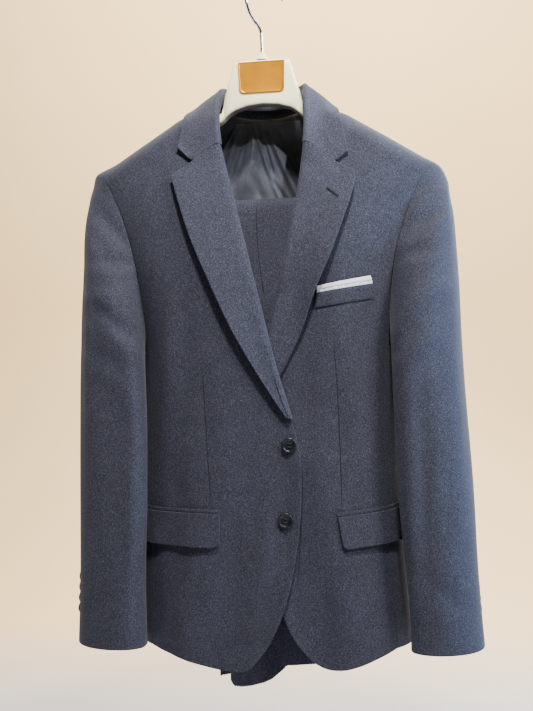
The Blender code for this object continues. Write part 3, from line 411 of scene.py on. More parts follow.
def joined(name, parts):
    # one object from several small ones that hang where they are
    points, faces, start = [], [], 0
    materials = list(parts[0].data.materials)
    for part in parts:
        mesh = part.data
        points += [tuple(v.co) for v in mesh.vertices]
        faces += [tuple(start + k for k in p.vertices) for p in mesh.polygons]
        start += len(mesh.vertices)
        bpy.data.objects.remove(part, do_unlink=True)
    return meshFrom(name, points, faces, materials, 40, tip=False)


pieces = {}


def keep(piece, node=None):
    # every piece rides on the one body; one that stands for a solid takes its slot
    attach(piece, "root")
    if node:
        pieces[node] = piece
        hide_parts(node)
    return piece


cutLimits = {"least": 0.0105, "share": 0.31}    # least width or length, least share of width times length


def cutSize(grid):
    # works out the flat size that a sheet was cut to, from its own grid, but neither keeps nor returns it
    wide = float(np.linalg.norm(np.diff(grid, axis=1), axis=2).sum(axis=1).max())
    tall = float(np.linalg.norm(np.diff(grid, axis=0), axis=2).sum(axis=0).max())
    wide, tall = max(wide, cutLimits["least"]), max(tall, cutLimits["least"])
    area = min(float(areaOf(grid)), wide * tall)
    area = max(area, cutLimits["share"] * wide * tall)


# materials

def newMaterial(name, roughness, metallic=0.0):
    made = bpy.data.materials.new(name)
    made.use_nodes = True
    shader = made.node_tree.nodes["Principled BSDF"]
    shader.inputs["Roughness"].default_value = roughness
    shader.inputs["Metallic"].default_value = metallic
    return made, made.node_tree, shader


def addNode(tree, kind, inputs=None, **settings):
    # inputs maps a socket's name or number to a value or to another node's socket
    node = tree.nodes.new(kind)
    for key, value in settings.items():
        setattr(node, key, value)
    for key, value in (inputs or {}).items():
        if isinstance(value, bpy.types.NodeSocket):
            tree.links.new(value, node.inputs[key])
        else:
            node.inputs[key].default_value = value
    return node


def blendColour(tree, factor, first, second):
    # mixes two colours by a factor; a colour is three values or another node's socket
    wanted = {0: factor}
    for key, colour in ((6, first), (7, second)):
        wanted[key] = colour if isinstance(colour, bpy.types.NodeSocket) else (*colour, 1.0)
    return addNode(tree, "ShaderNodeMix", wanted, data_type="RGBA").outputs[2]


def placeNode(tree, scale=(1, 1, 1), turn=(0, 0, 0)):
    coords = addNode(tree, "ShaderNodeTexCoord")
    node = addNode(tree, "ShaderNodeMapping", {"Vector": coords.outputs["Object"], "Scale": scale,
                                               "Rotation": turn})
    return node.outputs["Vector"]


def addNoise(tree, place, scale, detail, roughness=0.5, distortion=0.0):
    node = addNode(tree, "ShaderNodeTexNoise", {"Vector": place, "Scale": scale, "Detail": detail,
                                                "Roughness": roughness, "Distortion": distortion})
    return node.outputs["Fac"]


def addBands(tree, place, scale, distortion, direction, more=None):
    node = addNode(tree, "ShaderNodeTexWave", {"Vector": place, "Scale": scale, "Distortion": distortion,
                                               **(more or {})}, bands_direction=direction)
    return node.outputs["Fac"]


def addMath(tree, operation, *values, **settings):
    node = addNode(tree, "ShaderNodeMath", dict(enumerate(values)), operation=operation, **settings)
    return node.outputs[0]


def addRange(tree, value, start, end, low=0.0, high=1.0, **settings):
    # a value that runs from start to end, mapped onto low to high
    node = addNode(tree, "ShaderNodeMapRange", {"Value": value, "From Min": start, "From Max": end,
                                                "To Min": low, "To Max": high}, **settings)
    return node.outputs[0]


def setColour(tree, shader, factor, first, second):
    tree.links.new(blendColour(tree, factor, first, second), shader.inputs["Base Color"])


def setRelief(tree, shader, height, strength, distance):
    relief = addNode(tree, "ShaderNodeBump", {"Height": height, "Strength": strength, "Distance": distance})
    tree.links.new(relief.outputs[0], shader.inputs["Normal"])


def setRoughness(tree, shader, look, value, start=0.0, end=1.0):
    # lets the roughness wander below and above its middle value
    below, above = look["wander"]
    rough = addRange(tree, value, start, end, look["roughness"] - below, look["roughness"] + above)
    tree.links.new(rough, shader.inputs["Roughness"])


def setValues(shader, values):
    for key, value in values.items():
        shader.inputs[key].default_value = value


worsted = {
    "dark": (0.0066, 0.0069, 0.0122), "middle": (0.0228, 0.0225, 0.0326), "light": (0.0880, 0.0870, 0.1150),
    "stops": (0.36, 0.50, 0.66),            # where dark, middle and light stand in the mix of yarns
    "speck": 620.0,                         # specks of the mixed yarn in each metre
    "yarn": 1500.0, "yarnStretch": 0.42,    # threads in each metre, and how they stretch lengthwise
    "clouds": 34.0, "cloudShade": (0.90, 1.08),
    "ribs": 240.0, "ribHigh": 0.35,
    "roughness": 0.86, "wander": (0.08, 0.06), "relief": 0.35, "reliefDeep": 0.0005,
    "shader": {"Sheen Weight": 0.06, "Sheen Roughness": 0.45, "Specular IOR Level": 0.30},
}


def wovenMaterial(name, look, lift=1.0):
    # a plain weave of mixed dark and pale yarns; lift makes the whole cloth lighter
    made, tree, shader = newMaterial(name, look["roughness"])
    place = placeNode(tree)
    specks = addNoise(tree, place, look["speck"], 3.0, 0.75)
    threads = addNoise(tree, placeNode(tree, (1.0, 1.0, look["yarnStretch"])), look["yarn"], 2.0, 0.6)
    clouds = addNoise(tree, place, look["clouds"], 4.0, 0.6)
    mixed = addMath(tree, "ADD", specks, threads)
    ramp = addNode(tree, "ShaderNodeValToRGB", {"Fac": addMath(tree, "MULTIPLY", mixed, 0.5)})
    dark, middle, light = [(*[v * lift for v in look[key]], 1) for key in ("dark", "middle", "light")]
    stops = ramp.color_ramp.elements
    stops[0].position, stops[0].color = look["stops"][0], dark
    stops[1].position, stops[1].color = look["stops"][2], light
    stops.new(look["stops"][1]).color = middle
    shade = addRange(tree, clouds, 0.3, 0.7, *look["cloudShade"])
    colour = addNode(tree, "ShaderNodeVectorMath", {0: ramp.outputs["Color"], 1: shade}, operation="MULTIPLY")
    tree.links.new(colour.outputs[0], shader.inputs["Base Color"])
    ribs = addBands(tree, place, look["ribs"], 1.5, "DIAGONAL", {"Detail": 1.0, "Detail Scale": 4.0})
    height = addMath(tree, "MULTIPLY_ADD", ribs, look["ribHigh"], mixed)
    setRelief(tree, shader, height, look["relief"], look["reliefDeep"])
    setRoughness(tree, shader, look, specks, 0.3, 0.7)
    setValues(shader, look["shader"])
    return made


satin = {
    "dark": (0.022, 0.022, 0.024), "light": (0.062, 0.063, 0.077), "spread": (0.12, 0.42),
    "threads": 1900.0, "threadStretch": 0.08, "broad": 45.0,
    "roughness": 0.60, "wander": (0.06, 0.08), "relief": 0.10, "reliefDeep": 0.0002,
    "shader": {"Sheen Weight": 0.25},
}


def satinMaterial(name, look):
    made, tree, shader = newMaterial(name, look["roughness"])
    fine = addNoise(tree, placeNode(tree, (1.0, 1.0, look["threadStretch"])), look["threads"], 2.0)
    broad = addNoise(tree, placeNode(tree), look["broad"], 3.0)
    factor = addRange(tree, addMath(tree, "MULTIPLY", fine, broad), *look["spread"])
    setColour(tree, shader, factor, look["dark"], look["light"])
    setRelief(tree, shader, fine, look["relief"], look["reliefDeep"])
    setRoughness(tree, shader, look, broad)
    setValues(shader, look["shader"])
    return made


horn = {
    "dark": (0.003, 0.003, 0.004), "light": (0.018, 0.018, 0.022), "spread": (0.42, 0.68),
    "swirls": 220.0, "swirlTwist": 1.6, "grain": 1400.0,
    "roughness": 0.34, "relief": 0.05, "reliefDeep": 0.0002,
    "shader": {"Coat Weight": 0.06, "Coat Roughness": 0.20, "Specular IOR Level": 0.30},
}


def hornMaterial(name, look):
    made, tree, shader = newMaterial(name, look["roughness"])
    place = placeNode(tree, (1.0, 1.0, 0.5), (0.0, 0.6, 0.0))
    swirl = addNoise(tree, place, look["swirls"], 5.0, distortion=look["swirlTwist"])
    setColour(tree, shader, addRange(tree, swirl, *look["spread"]), look["dark"], look["light"])
    setRelief(tree, shader, addNoise(tree, place, look["grain"], 2.0), look["relief"], look["reliefDeep"])
    setValues(shader, look["shader"])
    return made


moulded = {
    # under is painted shade, the grey-brown laid on the arch's downward faces
    "base": (0.975, 0.870, 0.520), "worn": (0.900, 0.765, 0.420), "under": (0.300, 0.260, 0.220),
    "broad": 22.0, "grain": 650.0, "wornEdges": 0.8, "mottle": 0.22,
    "underShadeWide": (0.075, 0.060),            # how far from the middle the painted shade on the underside fades out
    "roughness": 0.30, "wander": (0.05, 0.12), "relief": 0.04, "reliefDeep": 0.0003,
    "shader": {"Coat Weight": 0.25, "Coat Roughness": 0.15},
}


def mouldedMaterial(name, look):
    made, tree, shader = newMaterial(name, look["roughness"])
    place = placeNode(tree)
    broad = addNoise(tree, place, look["broad"], 4.0, 0.6)
    surface = addNode(tree, "ShaderNodeNewGeometry")
    worn = addRange(tree, surface.outputs["Pointiness"], 0.42, 0.50, look["wornEdges"], 0.0)
    mottle = addRange(tree, broad, 0.35, 0.75, 0.0, look["mottle"])
    plain = blendColour(tree, addMath(tree, "ADD", worn, mottle, use_clamp=True), look["base"], look["worn"])
    # painted shade: the faces that look down under the middle of the arch are darkened to grey-brown
    facing = addNode(tree, "ShaderNodeSeparateXYZ", {"Vector": surface.outputs["Normal"]})
    coords = addNode(tree, "ShaderNodeTexCoord")
    spot = addNode(tree, "ShaderNodeSeparateXYZ", {"Vector": coords.outputs["Object"]})
    below = addRange(tree, facing.outputs["Z"], -0.55, -0.80)
    near = addRange(tree, addMath(tree, "ABSOLUTE", spot.outputs["X"]), *look["underShadeWide"])
    setColour(tree, shader, addMath(tree, "MULTIPLY", below, near), plain, look["under"])
    setRelief(tree, shader, addNoise(tree, place, look["grain"], 2.0), look["relief"], look["reliefDeep"])
    setRoughness(tree, shader, look, broad)
    setValues(shader, look["shader"])
    return made


# grain stretches the brushing along X, Y and Z
gilt = {"base": (0.500, 0.205, 0.010), "dark": (0.410, 0.160, 0.008), "roughness": 0.44,
        "grain": (0.5, 1.0, 1.0)}
plated = {"base": (0.620, 0.620, 0.640), "dark": (0.420, 0.420, 0.440), "roughness": 0.10,
          "grain": (1.0, 1.0, 0.15)}
brushing = {"fine": 900.0, "broad": 60.0, "spread": (0.30, 0.95), "wander": (0.03, 0.04), "relief": 0.02,
            "reliefDeep": 0.0002}


def metalMaterial(name, metal):
    look = {**brushing, **metal}
    made, tree, shader = newMaterial(name, look["roughness"], 1.0)
    brushed = addNoise(tree, placeNode(tree, look["grain"]), look["fine"], 3.0)
    broad = addNoise(tree, placeNode(tree), look["broad"], 3.0)
    setColour(tree, shader, addRange(tree, broad, *look["spread"]), look["base"], look["dark"])
    setRoughness(tree, shader, look, brushed, 0.3, 0.7)
    setRelief(tree, shader, brushed, look["relief"], look["reliefDeep"])
    return made


linen = {
    "base": (0.800, 0.790, 0.750), "shade": (0.680, 0.665, 0.620), "roughness": 0.85,
    "threads": 700.0, "uneven": 0.6, "slubs": 260.0, "relief": 0.25, "reliefDeep": 0.0003,
}


def linenMaterial(name, look):
    made, tree, shader = newMaterial(name, look["roughness"])
    place = placeNode(tree)
    warp, weft = [addBands(tree, place, look["threads"] / 3, look["uneven"], way) for way in ("X", "Z")]
    cross = addMath(tree, "MULTIPLY", warp, weft)
    factor = addMath(tree, "MULTIPLY", cross, addNoise(tree, place, look["slubs"], 4.0))
    setColour(tree, shader, factor, look["base"], look["shade"])
    setRelief(tree, shader, cross, look["relief"], look["reliefDeep"])
    return made


thread = {"base": (0.0035, 0.0040, 0.0065), "paler": 1.8, "roughness": 0.7, "twist": 900.0, "uneven": 0.5,
          "relief": 0.3, "reliefDeep": 0.0002}


def threadMaterial(name, look):
    made, tree, shader = newMaterial(name, look["roughness"])
    twist = addBands(tree, placeNode(tree), look["twist"], look["uneven"], "DIAGONAL")
    setColour(tree, shader, twist, look["base"], [v * look["paler"] for v in look["base"]])
    setRelief(tree, shader, twist, look["relief"], look["reliefDeep"])
    return made


clothPlain = wovenMaterial("worsted", worsted)
clothTurned = wovenMaterial("worstedTurned", worsted, 1.10)
clothTrousers = wovenMaterial("worstedTrousers", worsted, 1.05)
# a darkened copy of the cloth: painted shade in the seams
clothSeamShade = wovenMaterial("worstedSeamShade", worsted, 0.30)
satinDark = satinMaterial("satinLining", satin)
hornDark = hornMaterial("hornButton", horn)
plasticCream = mouldedMaterial("mouldedCream", moulded)
giltPlate = metalMaterial("giltPlate", gilt)
chromeWire = metalMaterial("chromeWire", plated)
linenWhite = linenMaterial("linenSquare", linen)
threadDark = threadMaterial("buttonThread", thread)
print("materials made")


# sheets of cloth

# thickness, materials and how far the borders roll in
clothLayers = {
    "body": (0.0017, [clothPlain, satinDark], 0.0004),
    "turned": (0.0018, [clothTurned], 0.0005),
    "flap": (0.0018, [clothPlain, satinDark], 0.0005),
    "jetting": (0.0013, [clothPlain], 0.0004),
    "welt": (0.0018, [clothPlain], 0.0006),
    "square": (0.0010, [linenWhite], 0.0003),
    "lining": (0.0010, [satinDark], 0.0004),
}
bothSides = ((-1, "right"), (1, "left"))    # the wearer's right is at -X
towardsFront = (0, -1, 0)
closeBorders = (0.0007, 0.0018)             # where small pieces get rows near their borders


def sewn(name, layer, grid, normal, cut):
    # makes the cloth piece of a solid's name; cut is its grid before the creases
    thick, materials, sink = clothLayers[layer]
    piece = keep(shell(name, grid, normal, thick, materials, sink), name)
    cutSize(cut)


def onSide(marks, side, share=1.0):
    # marks of the wearer's left, turned to a side
    return [(a * side, b, c * side, d, wide, deep * share) for a, b, c, d, wide, deep in marks]


# the jacket's form: a fuller oval at each level, rounded over the shoulders

jacketForm = {
    "shoulderSlope": 0.63, "shoulderPoint": (0.228, -0.2578), "shoulderRound": 0.030,
    "neckPoint": (0.064, -0.1695), "neckSink": 0.015, "neckEnd": 0.118,
    "ridgeY": 0.004, "sidePower": 3.2, "depthPower": 2.2, "swell": 0.0008, "swellSize": 0.16,
    "tuck": (0.0050, 0.0090),       # how deep the front beneath runs low down, and how much more above
    "drape": (0.0022, 62),          # height and pace of the fronts' soft falls
    "corner": 7,                    # row of both seam tables where the armhole ends
    "levels": np.array([
        # z,     half,  front, back
        [-0.100, 0.330, 0.020, 0.022],
        [-0.150, 0.320, 0.028, 0.032],
        [-0.180, 0.308, 0.036, 0.045],
        [-0.210, 0.292, 0.046, 0.057],
        [-0.250, 0.264, 0.058, 0.066],
        [-0.300, 0.236, 0.071, 0.075],
        [-0.350, 0.215, 0.080, 0.082],
        [-0.400, 0.200, 0.086, 0.086],
        [-0.450, 0.187, 0.089, 0.086],
        [-0.500, 0.178, 0.090, 0.082],
        [-0.620, 0.176, 0.087, 0.068],
        [-0.720, 0.179, 0.086, 0.069],
        [-0.800, 0.183, 0.085, 0.074],
        [-0.940, 0.189, 0.084, 0.078],
    ]),
    "frontSeam": np.array([
        # x, z
        [0.2280, -0.2578], [0.2140, -0.2850], [0.2020, -0.3080], [0.1890, -0.3420], [0.1760, -0.3900],
        [0.1690, -0.4400], [0.1670, -0.4780], [0.1655, -0.5050], [0.1600, -0.5500], [0.1560, -0.6200],
        [0.1580, -0.7200], [0.1620, -0.8200], [0.1660, -0.9090],
    ]),
    "backSeam": np.array([
        # x, z
        [0.2280, -0.2578], [0.2160, -0.2860], [0.2040, -0.3150], [0.1880, -0.3600], [0.1760, -0.4100],
        [0.1670, -0.4600], [0.1620, -0.4920], [0.1570, -0.5080], [0.1550, -0.5200], [0.1510, -0.5500],
        [0.1455, -0.6200], [0.1445, -0.7200], [0.1490, -0.8200], [0.1540, -0.9090],
    ]),
}


def shoulderLine(x):
    neckX, neckZ = jacketForm["neckPoint"]
    straight = neckZ + jacketForm["neckSink"] - (np.abs(x) - neckX) * jacketForm["shoulderSlope"]
    return straight - jacketForm["neckSink"] * (1 - ease(np.abs(x), neckX, jacketForm["neckEnd"]))


def bodyDepth(x, z, back=False):
    # distance of the jacket's outer face from the shoulder line's plane
    x, z = np.broadcast_arrays(np.asarray(x, float), np.asarray(z, float))
    row = readTable(jacketForm["levels"], z.ravel())
    half = row[:, 1].reshape(x.shape)
    deep = row[:, 3 if back else 2].reshape(x.shape)
    within = np.clip(np.abs(x) / half, 0, 1)
    side = np.clip(1 - within ** jacketForm["sidePower"], 0, 1) ** (1 / jacketForm["depthPower"])
    fall = np.clip((shoulderLine(x) - z) / jacketForm["shoulderRound"], 0, 1)
    return deep * side * np.sqrt(1 - (1 - fall) ** 2)


def frontY(x, z):
    return jacketForm["ridgeY"] - bodyDepth(x, z)


def backY(x, z):
    return jacketForm["ridgeY"] + bodyDepth(x, z, back=True)


def tuck(x, z):
    # the wearer's left front lies under the right one, so it runs deeper near the middle
    least, more = jacketForm["tuck"]
    deep = least + more * ease(z, -0.66, -0.58)
    return deep * (1 - ease(x, 0.040, 0.110)) * ease(-z, 0.33, 0.45)


def drape(x, z, side):
    # long soft falls of the fronts below the chest
    high, pace = jacketForm["drape"]
    low = ease(-z, 0.45, 0.80)
    wave = high * np.sin((np.abs(x) - 0.02) * pace + 1.3 * z * 9) * (1 - ease(np.abs(x), 0.115, 0.150))
    return wave * low * frontCut["waves"][side]


def frontFace(x, z, side):
    y = frontY(x, z) - drape(x, z, side)
    return y + tuck(x, z) if side > 0 else y


def liftOff(spot, clear, nudge=1e-4):
    # moves a point out of the jacket's body until it is clear of the outer face
    def level(p):
        row = readTable(jacketForm["levels"], p[2])[0]
        deep = max(1e-4, float(row[3 if p[1] > jacketForm["ridgeY"] else 2]))
        within = 1 - (abs(p[0]) / float(row[1])) ** jacketForm["sidePower"]
        side = max(0.05, within) ** (1 / jacketForm["depthPower"])
        over = 1 - min(1.0, (shoulderLine(p[0]) - p[2]) / jacketForm["shoulderRound"])
        return math.sqrt(((p[1] - jacketForm["ridgeY"]) / (deep * side)) ** 2 + over**2) - 1

    spot = np.array(spot, float)
    for _ in range(4):
        here = level(spot)
        slope = np.array([(level(spot + step) - here) / nudge for step in np.eye(3) * nudge])
        size = np.linalg.norm(slope)
        away = here / size
        if away < clear:
            spot = spot + slope / size * (clear - away)
    return spot


# creases that were placed on the photo

# the camera in the suit's frame; the focal length and the picture's middle are in its pixels
photo = {"spot": (0.1748, -1.2773, -0.5186), "turn": 8.0, "roll": -1.5, "lens": 46.886, "sensor": 36.0,
         "focal": 926.0, "middle": (266.5, 355.5)}


def placeFromPhoto(across, down, back):
    # x and z of a spot of the photo, on the plane that lies back at this y
    turn, roll = math.radians(photo["turn"]), -math.radians(photo["roll"])
    a, b = across - photo["middle"][0], down - photo["middle"][1]
    side = (a * math.cos(roll) - b * math.sin(roll)) / photo["focal"]
    low = a * math.sin(roll) + b * math.cos(roll)
    ahead = back - photo["spot"][1]
    x = ahead * (side * math.cos(turn) - math.sin(turn)) / (math.cos(turn) + side * math.sin(turn))
    far = -x * math.sin(turn) + ahead * math.cos(turn)
    return round(photo["spot"][0] + x, 4), round(photo["spot"][2] - low * far / photo["focal"], 4)


def fromPhoto(marks):
    # creases in the suit's own sizes: x, z, x, z, width, depth
    return [(*placeFromPhoto(x0, y0, back), *placeFromPhoto(x1, y1, back), wide, deep)
            for x0, y0, x1, y1, back, wide, deep in marks]


# fronts, sides and backs

frontCut = {
    "step": 0.0042, "seed": 11, "waves": {-1: 1.0, 1: 0.8},
    "rollInset": 0.0042, "rollFrom": (0.16, 0.18), "rollTo": (0.612, 0.634),
    # the edge that lies over stands off below this height, most at its border
    "edgeLift": 0.0036, "edgeWide": 0.013, "edgeFrom": (0.615, 0.660),
    "rightEdge": np.array([
        # x, z
        [-0.0640, -0.1695], [-0.0620, -0.1850], [-0.0575, -0.2150], [-0.0490, -0.2500],
        [-0.0375, -0.2950], [-0.0235, -0.3500], [-0.0085, -0.4140], [0.0070, -0.4790], [0.0200, -0.5350],
        [0.0335, -0.5850], [0.0440, -0.6200], [0.0478, -0.6600], [0.0476, -0.7000], [0.0440, -0.7450],
        [0.0375, -0.7900], [0.0265, -0.8350], [0.0120, -0.8750], [-0.0060, -0.9060], [-0.0230, -0.9260],
    ]),
    "leftEdge": np.array([
        # x, z
        [0.0640, -0.1695], [0.0635, -0.1850], [0.0620, -0.2150], [0.0585, -0.2500], [0.0525, -0.2950],
        [0.0420, -0.3500], [0.0270, -0.4140], [0.0110, -0.4760], [-0.0050, -0.5350], [-0.0180, -0.5850],
        [-0.0250, -0.6200], [-0.0270, -0.6600], [-0.0240, -0.7000], [-0.0180, -0.7450],
        [-0.0080, -0.7900], [0.0080, -0.8350], [0.0240, -0.8720], [0.0380, -0.9010], [0.0560, -0.9205],
    ]),
    "rightHem": np.array([
        # x, z
        [-0.0230, -0.9260], [-0.0430, -0.9345], [-0.0660, -0.9325], [-0.1060, -0.9235],
        [-0.1400, -0.9150], [-0.1660, -0.9090],
    ]),
    "leftHem": np.array([
        # x, z
        [0.0560, -0.9205], [0.0720, -0.9290], [0.0900, -0.9310], [0.1150, -0.9265], [0.1420, -0.9180],
        [0.1660, -0.9090],
    ]),
    # x, y, x, y on the photo, how far back, width, depth: darts first, then soft falls
    "rightMarks": [
        (202, 366, 204, 400, -0.082, 0.0011, 0.0009),
        (204, 400, 207, 450, -0.082, 0.0011, 0.0010),
        (207, 450, 211, 511, -0.082, 0.0011, 0.0009),
        (200, 352, 210, 500, -0.082, 0.0130, 0.0016),
        (186, 318, 184, 420, -0.082, 0.0120, 0.0022),
        (166, 300, 160, 430, -0.080, 0.0130, -0.0016),
        (150, 470, 148, 640, -0.078, 0.0100, 0.0014),
        (232, 560, 226, 650, -0.084, 0.0150, 0.0014),
        (262, 455, 222, 480, -0.086, 0.0080, 0.0007),
        (176, 590, 182, 650, -0.082, 0.0160, -0.0014),
        (262, 560, 252, 640, -0.086, 0.0120, -0.0010),
    ],
    "leftMarks": [
        (333, 337, 336, 372, -0.080, 0.0011, 0.0009),
        (336, 372, 339, 430, -0.080, 0.0011, 0.0010),
        (339, 430, 342, 512, -0.080, 0.0011, 0.0009),
        (334, 340, 341, 500, -0.080, 0.0130, 0.0015),
        (366, 330, 366, 430, -0.078, 0.0120, 0.0018),
        (382, 320, 384, 440, -0.074, 0.0100, -0.0012),
        (392, 470, 394, 640, -0.074, 0.0090, 0.0012),
        (322, 560, 324, 640, -0.080, 0.0140, 0.0013),
        (356, 580, 352, 650, -0.078, 0.0150, -0.0012),
    ],
}


def frontPanel(side, word):
    outer = mirrored(jacketForm["frontSeam"], side)
    edge, hem = frontCut[word + "Edge"].copy(), frontCut[word + "Hem"]
    turned = ease(-edge[:, 1], *frontCut["rollFrom"]) * (1 - ease(-edge[:, 1], *frontCut["rollTo"]))
    edge[:, 0] += side * frontCut["rollInset"] * turned
    rows = withCorner(shoulderRows(26), jacketForm["frontSeam"], jacketForm["corner"])
    columns = np.r_[0.0, 0.035, np.linspace(0.12, 1.0, 10)]

    def seam(shares):
        neck, end = jacketForm["neckPoint"][0], jacketForm["shoulderPoint"][0]
        x = neck + (end - neck) * shares
        return np.column_stack([x * side, shoulderLine(x)])

    flat = blendPatch(
        seam,
        lambda s: alongCurve(hem, s),
        lambda s: alongCurve(edge, s),
        lambda s: alongCurve(outer, s),
        rows, columns,
    )
    x, z = flat[:, :, 0], flat[:, :, 1]
    grid = np.stack([x, frontFace(x, z, side), z], axis=2)
    return trimmed(grid, top=0.0006)


backCut = {
    "step": 0.0045, "seed": 31, "leftShare": 0.85,
    # x from the centre seam, z
    "neck": [(0.0, -0.1780), (0.024, -0.1765), (0.046, -0.1725)],
    "middle": [(0.0, -0.1780), (0.0, -0.4000), (0.0, -0.6500), (0.0, -0.9100)],
    "hem": [(0.0, -0.9100), (0.080, -0.9100), (0.154, -0.9090)],
    # x, z, x, z, width, depth on the wearer's left
    "marks": [
        (0.090, -0.300, 0.130, -0.420, 0.016, 0.0022), (0.060, -0.560, 0.120, -0.600, 0.014, 0.0018),
        (0.030, -0.620, 0.034, -0.860, 0.016, 0.0020), (0.090, -0.640, 0.098, -0.880, 0.018, 0.0022),
        (0.120, -0.660, 0.124, -0.860, 0.010, -0.0012), (0.050, -0.210, 0.130, -0.250, 0.012, 0.0014),
        (0.040, -0.470, 0.120, -0.520, 0.012, -0.0014), (0.062, -0.700, 0.064, -0.880, 0.014, -0.0014),
    ],
}


def backPanel(side):
    outer = mirrored(jacketForm["backSeam"], side)
    neck, middle, hem = [mirrored(np.array(backCut[key]), side) for key in ("neck", "middle", "hem")]
    reach = np.linspace(jacketForm["neckPoint"][0], jacketForm["shoulderPoint"][0], 8)
    top = np.vstack([neck, np.column_stack([reach * side, shoulderLine(reach)])])
    steps = lengthsAlong(top)
    columns = steps / steps[-1]

    def upper(shares):
        return np.column_stack([np.interp(shares, columns, top[:, 0]), np.interp(shares, columns, top[:, 1])])

    flat = blendPatch(
        upper,
        lambda s: alongCurve(hem, s),
        lambda s: alongCurve(middle, s),
        lambda s: alongCurve(outer, s),
        withCorner(shoulderRows(20), jacketForm["backSeam"], jacketForm["corner"]), columns,
    )
    x, z = flat[:, :, 0], flat[:, :, 1]
    grid = np.stack([x, backY(x, z), z], axis=2)
    return trimmed(grid, top=0.0006)


sideCut = {
    "levels": np.r_[-0.5100, -0.5210, -0.5350, np.linspace(-0.5580, -0.9090, 13)], "columns": 9,
    "step": 0.0045, "seed": 21, "backGap": 0.0008,
    "allowance": 0.0030, "tucked": 0.0011,      # the back seam's allowance, and how far in it lies
    # y, z, y, z, width, depth
    "marks": [(-0.020, -0.62, -0.012, -0.86, 0.012, 0.0012), (0.020, -0.60, 0.026, -0.88, 0.012, 0.0014)],
}


def sidePanel(side):
    levels, columns, form = sideCut["levels"], sideCut["columns"], jacketForm
    grid = np.zeros((len(levels), columns, 3))
    fine = np.linspace(0, 1, 600)
    seams = [alongCurve(table, fine) for table in (form["frontSeam"], form["backSeam"])]
    front, back = [np.interp(-levels, -seam[:, 1], seam[:, 0]) for seam in seams]
    for i, z in enumerate(levels):
        half, ahead, behind = readTable(form["levels"], z)[0, 1:]
        first = -((1 - (front[i] / half) ** form["sidePower"]) ** (1 / form["depthPower"]))
        last = (1 - ((back[i] + sideCut["backGap"]) / half) ** form["sidePower"]) ** (1 / form["depthPower"])
        for j, share in enumerate(np.linspace(first, last, columns)):
            x = half * (1 - abs(share) ** form["depthPower"]) ** (1 / form["sidePower"])
            y = form["ridgeY"] + share * (ahead if share < 0 else behind)
            grid[i, j] = (x * side, y, z)
    return trimmed(grid)


def pressed(grid, outward, flat, marks, seed):
    # a refined panel with its creases and slow swells, and its normals
    normal = turnedTo(grid, outward)
    depth = creaseDepth(flat, marks) + unevenness(flat, seed, jacketForm["swellSize"], jacketForm["swell"])
    made = grid - normal * (depth * edgeFade(grid, ("top", "first", "last")))[..., None]
    return made, turnedTo(made, outward)


def makeFront(side, word):
    grid = refine(frontPanel(side, word), frontCut["step"])
    cut = grid.copy()
    if side < 0:
        inward = np.linalg.norm(grid - grid[:, :1], axis=2)
        low = ease(-grid[..., 2], *frontCut["edgeFrom"])
        grid[..., 1] -= frontCut["edgeLift"] * low * np.exp(-((inward / frontCut["edgeWide"]) ** 2))
    marks, seed = fromPhoto(frontCut[word + "Marks"]), frontCut["seed"] + side
    grid, normal = pressed(grid, towardsFront, grid[..., (0, 2)], marks, seed)
    sewn(f"front_{word}", "body", grid, normal, cut)


def makeSide(side, word):
    grid = refine(sidePanel(side), sideCut["step"])
    cut = grid.copy()
    grid, normal = pressed(grid, (side, 0, 0), grid[..., (1, 2)], sideCut["marks"], sideCut["seed"] + side)
    away = grid[:, -1] - grid[:, -2]
    away *= sideCut["allowance"] / np.linalg.norm(away, axis=1)[:, None]
    under = grid[:, -1] + away - normal[:, -1] * sideCut["tucked"]
    grid = np.concatenate([grid, under[:, None]], axis=1)
    normal = np.concatenate([normal, normal[:, -1:]], axis=1)
    sewn(f"side_{word}", "body", grid, normal, cut)


def makeBack(side, word):
    grid = refine(backPanel(side), backCut["step"])
    cut = grid.copy()
    marks = onSide(backCut["marks"], side, 1.0 if side < 0 else backCut["leftShare"])
    grid, normal = pressed(grid, (0, 1, 0), grid[..., (0, 2)], marks, backCut["seed"] + side)
    sewn(f"back_{word}", "body", grid, normal, cut)


def makeBody():
    for side, word in bothSides:
        makeFront(side, word)
        makeSide(side, word)
        makeBack(side, word)
    print("fronts, sides and backs made")


# sleeves: round tubes of two panels, sewn to the armhole

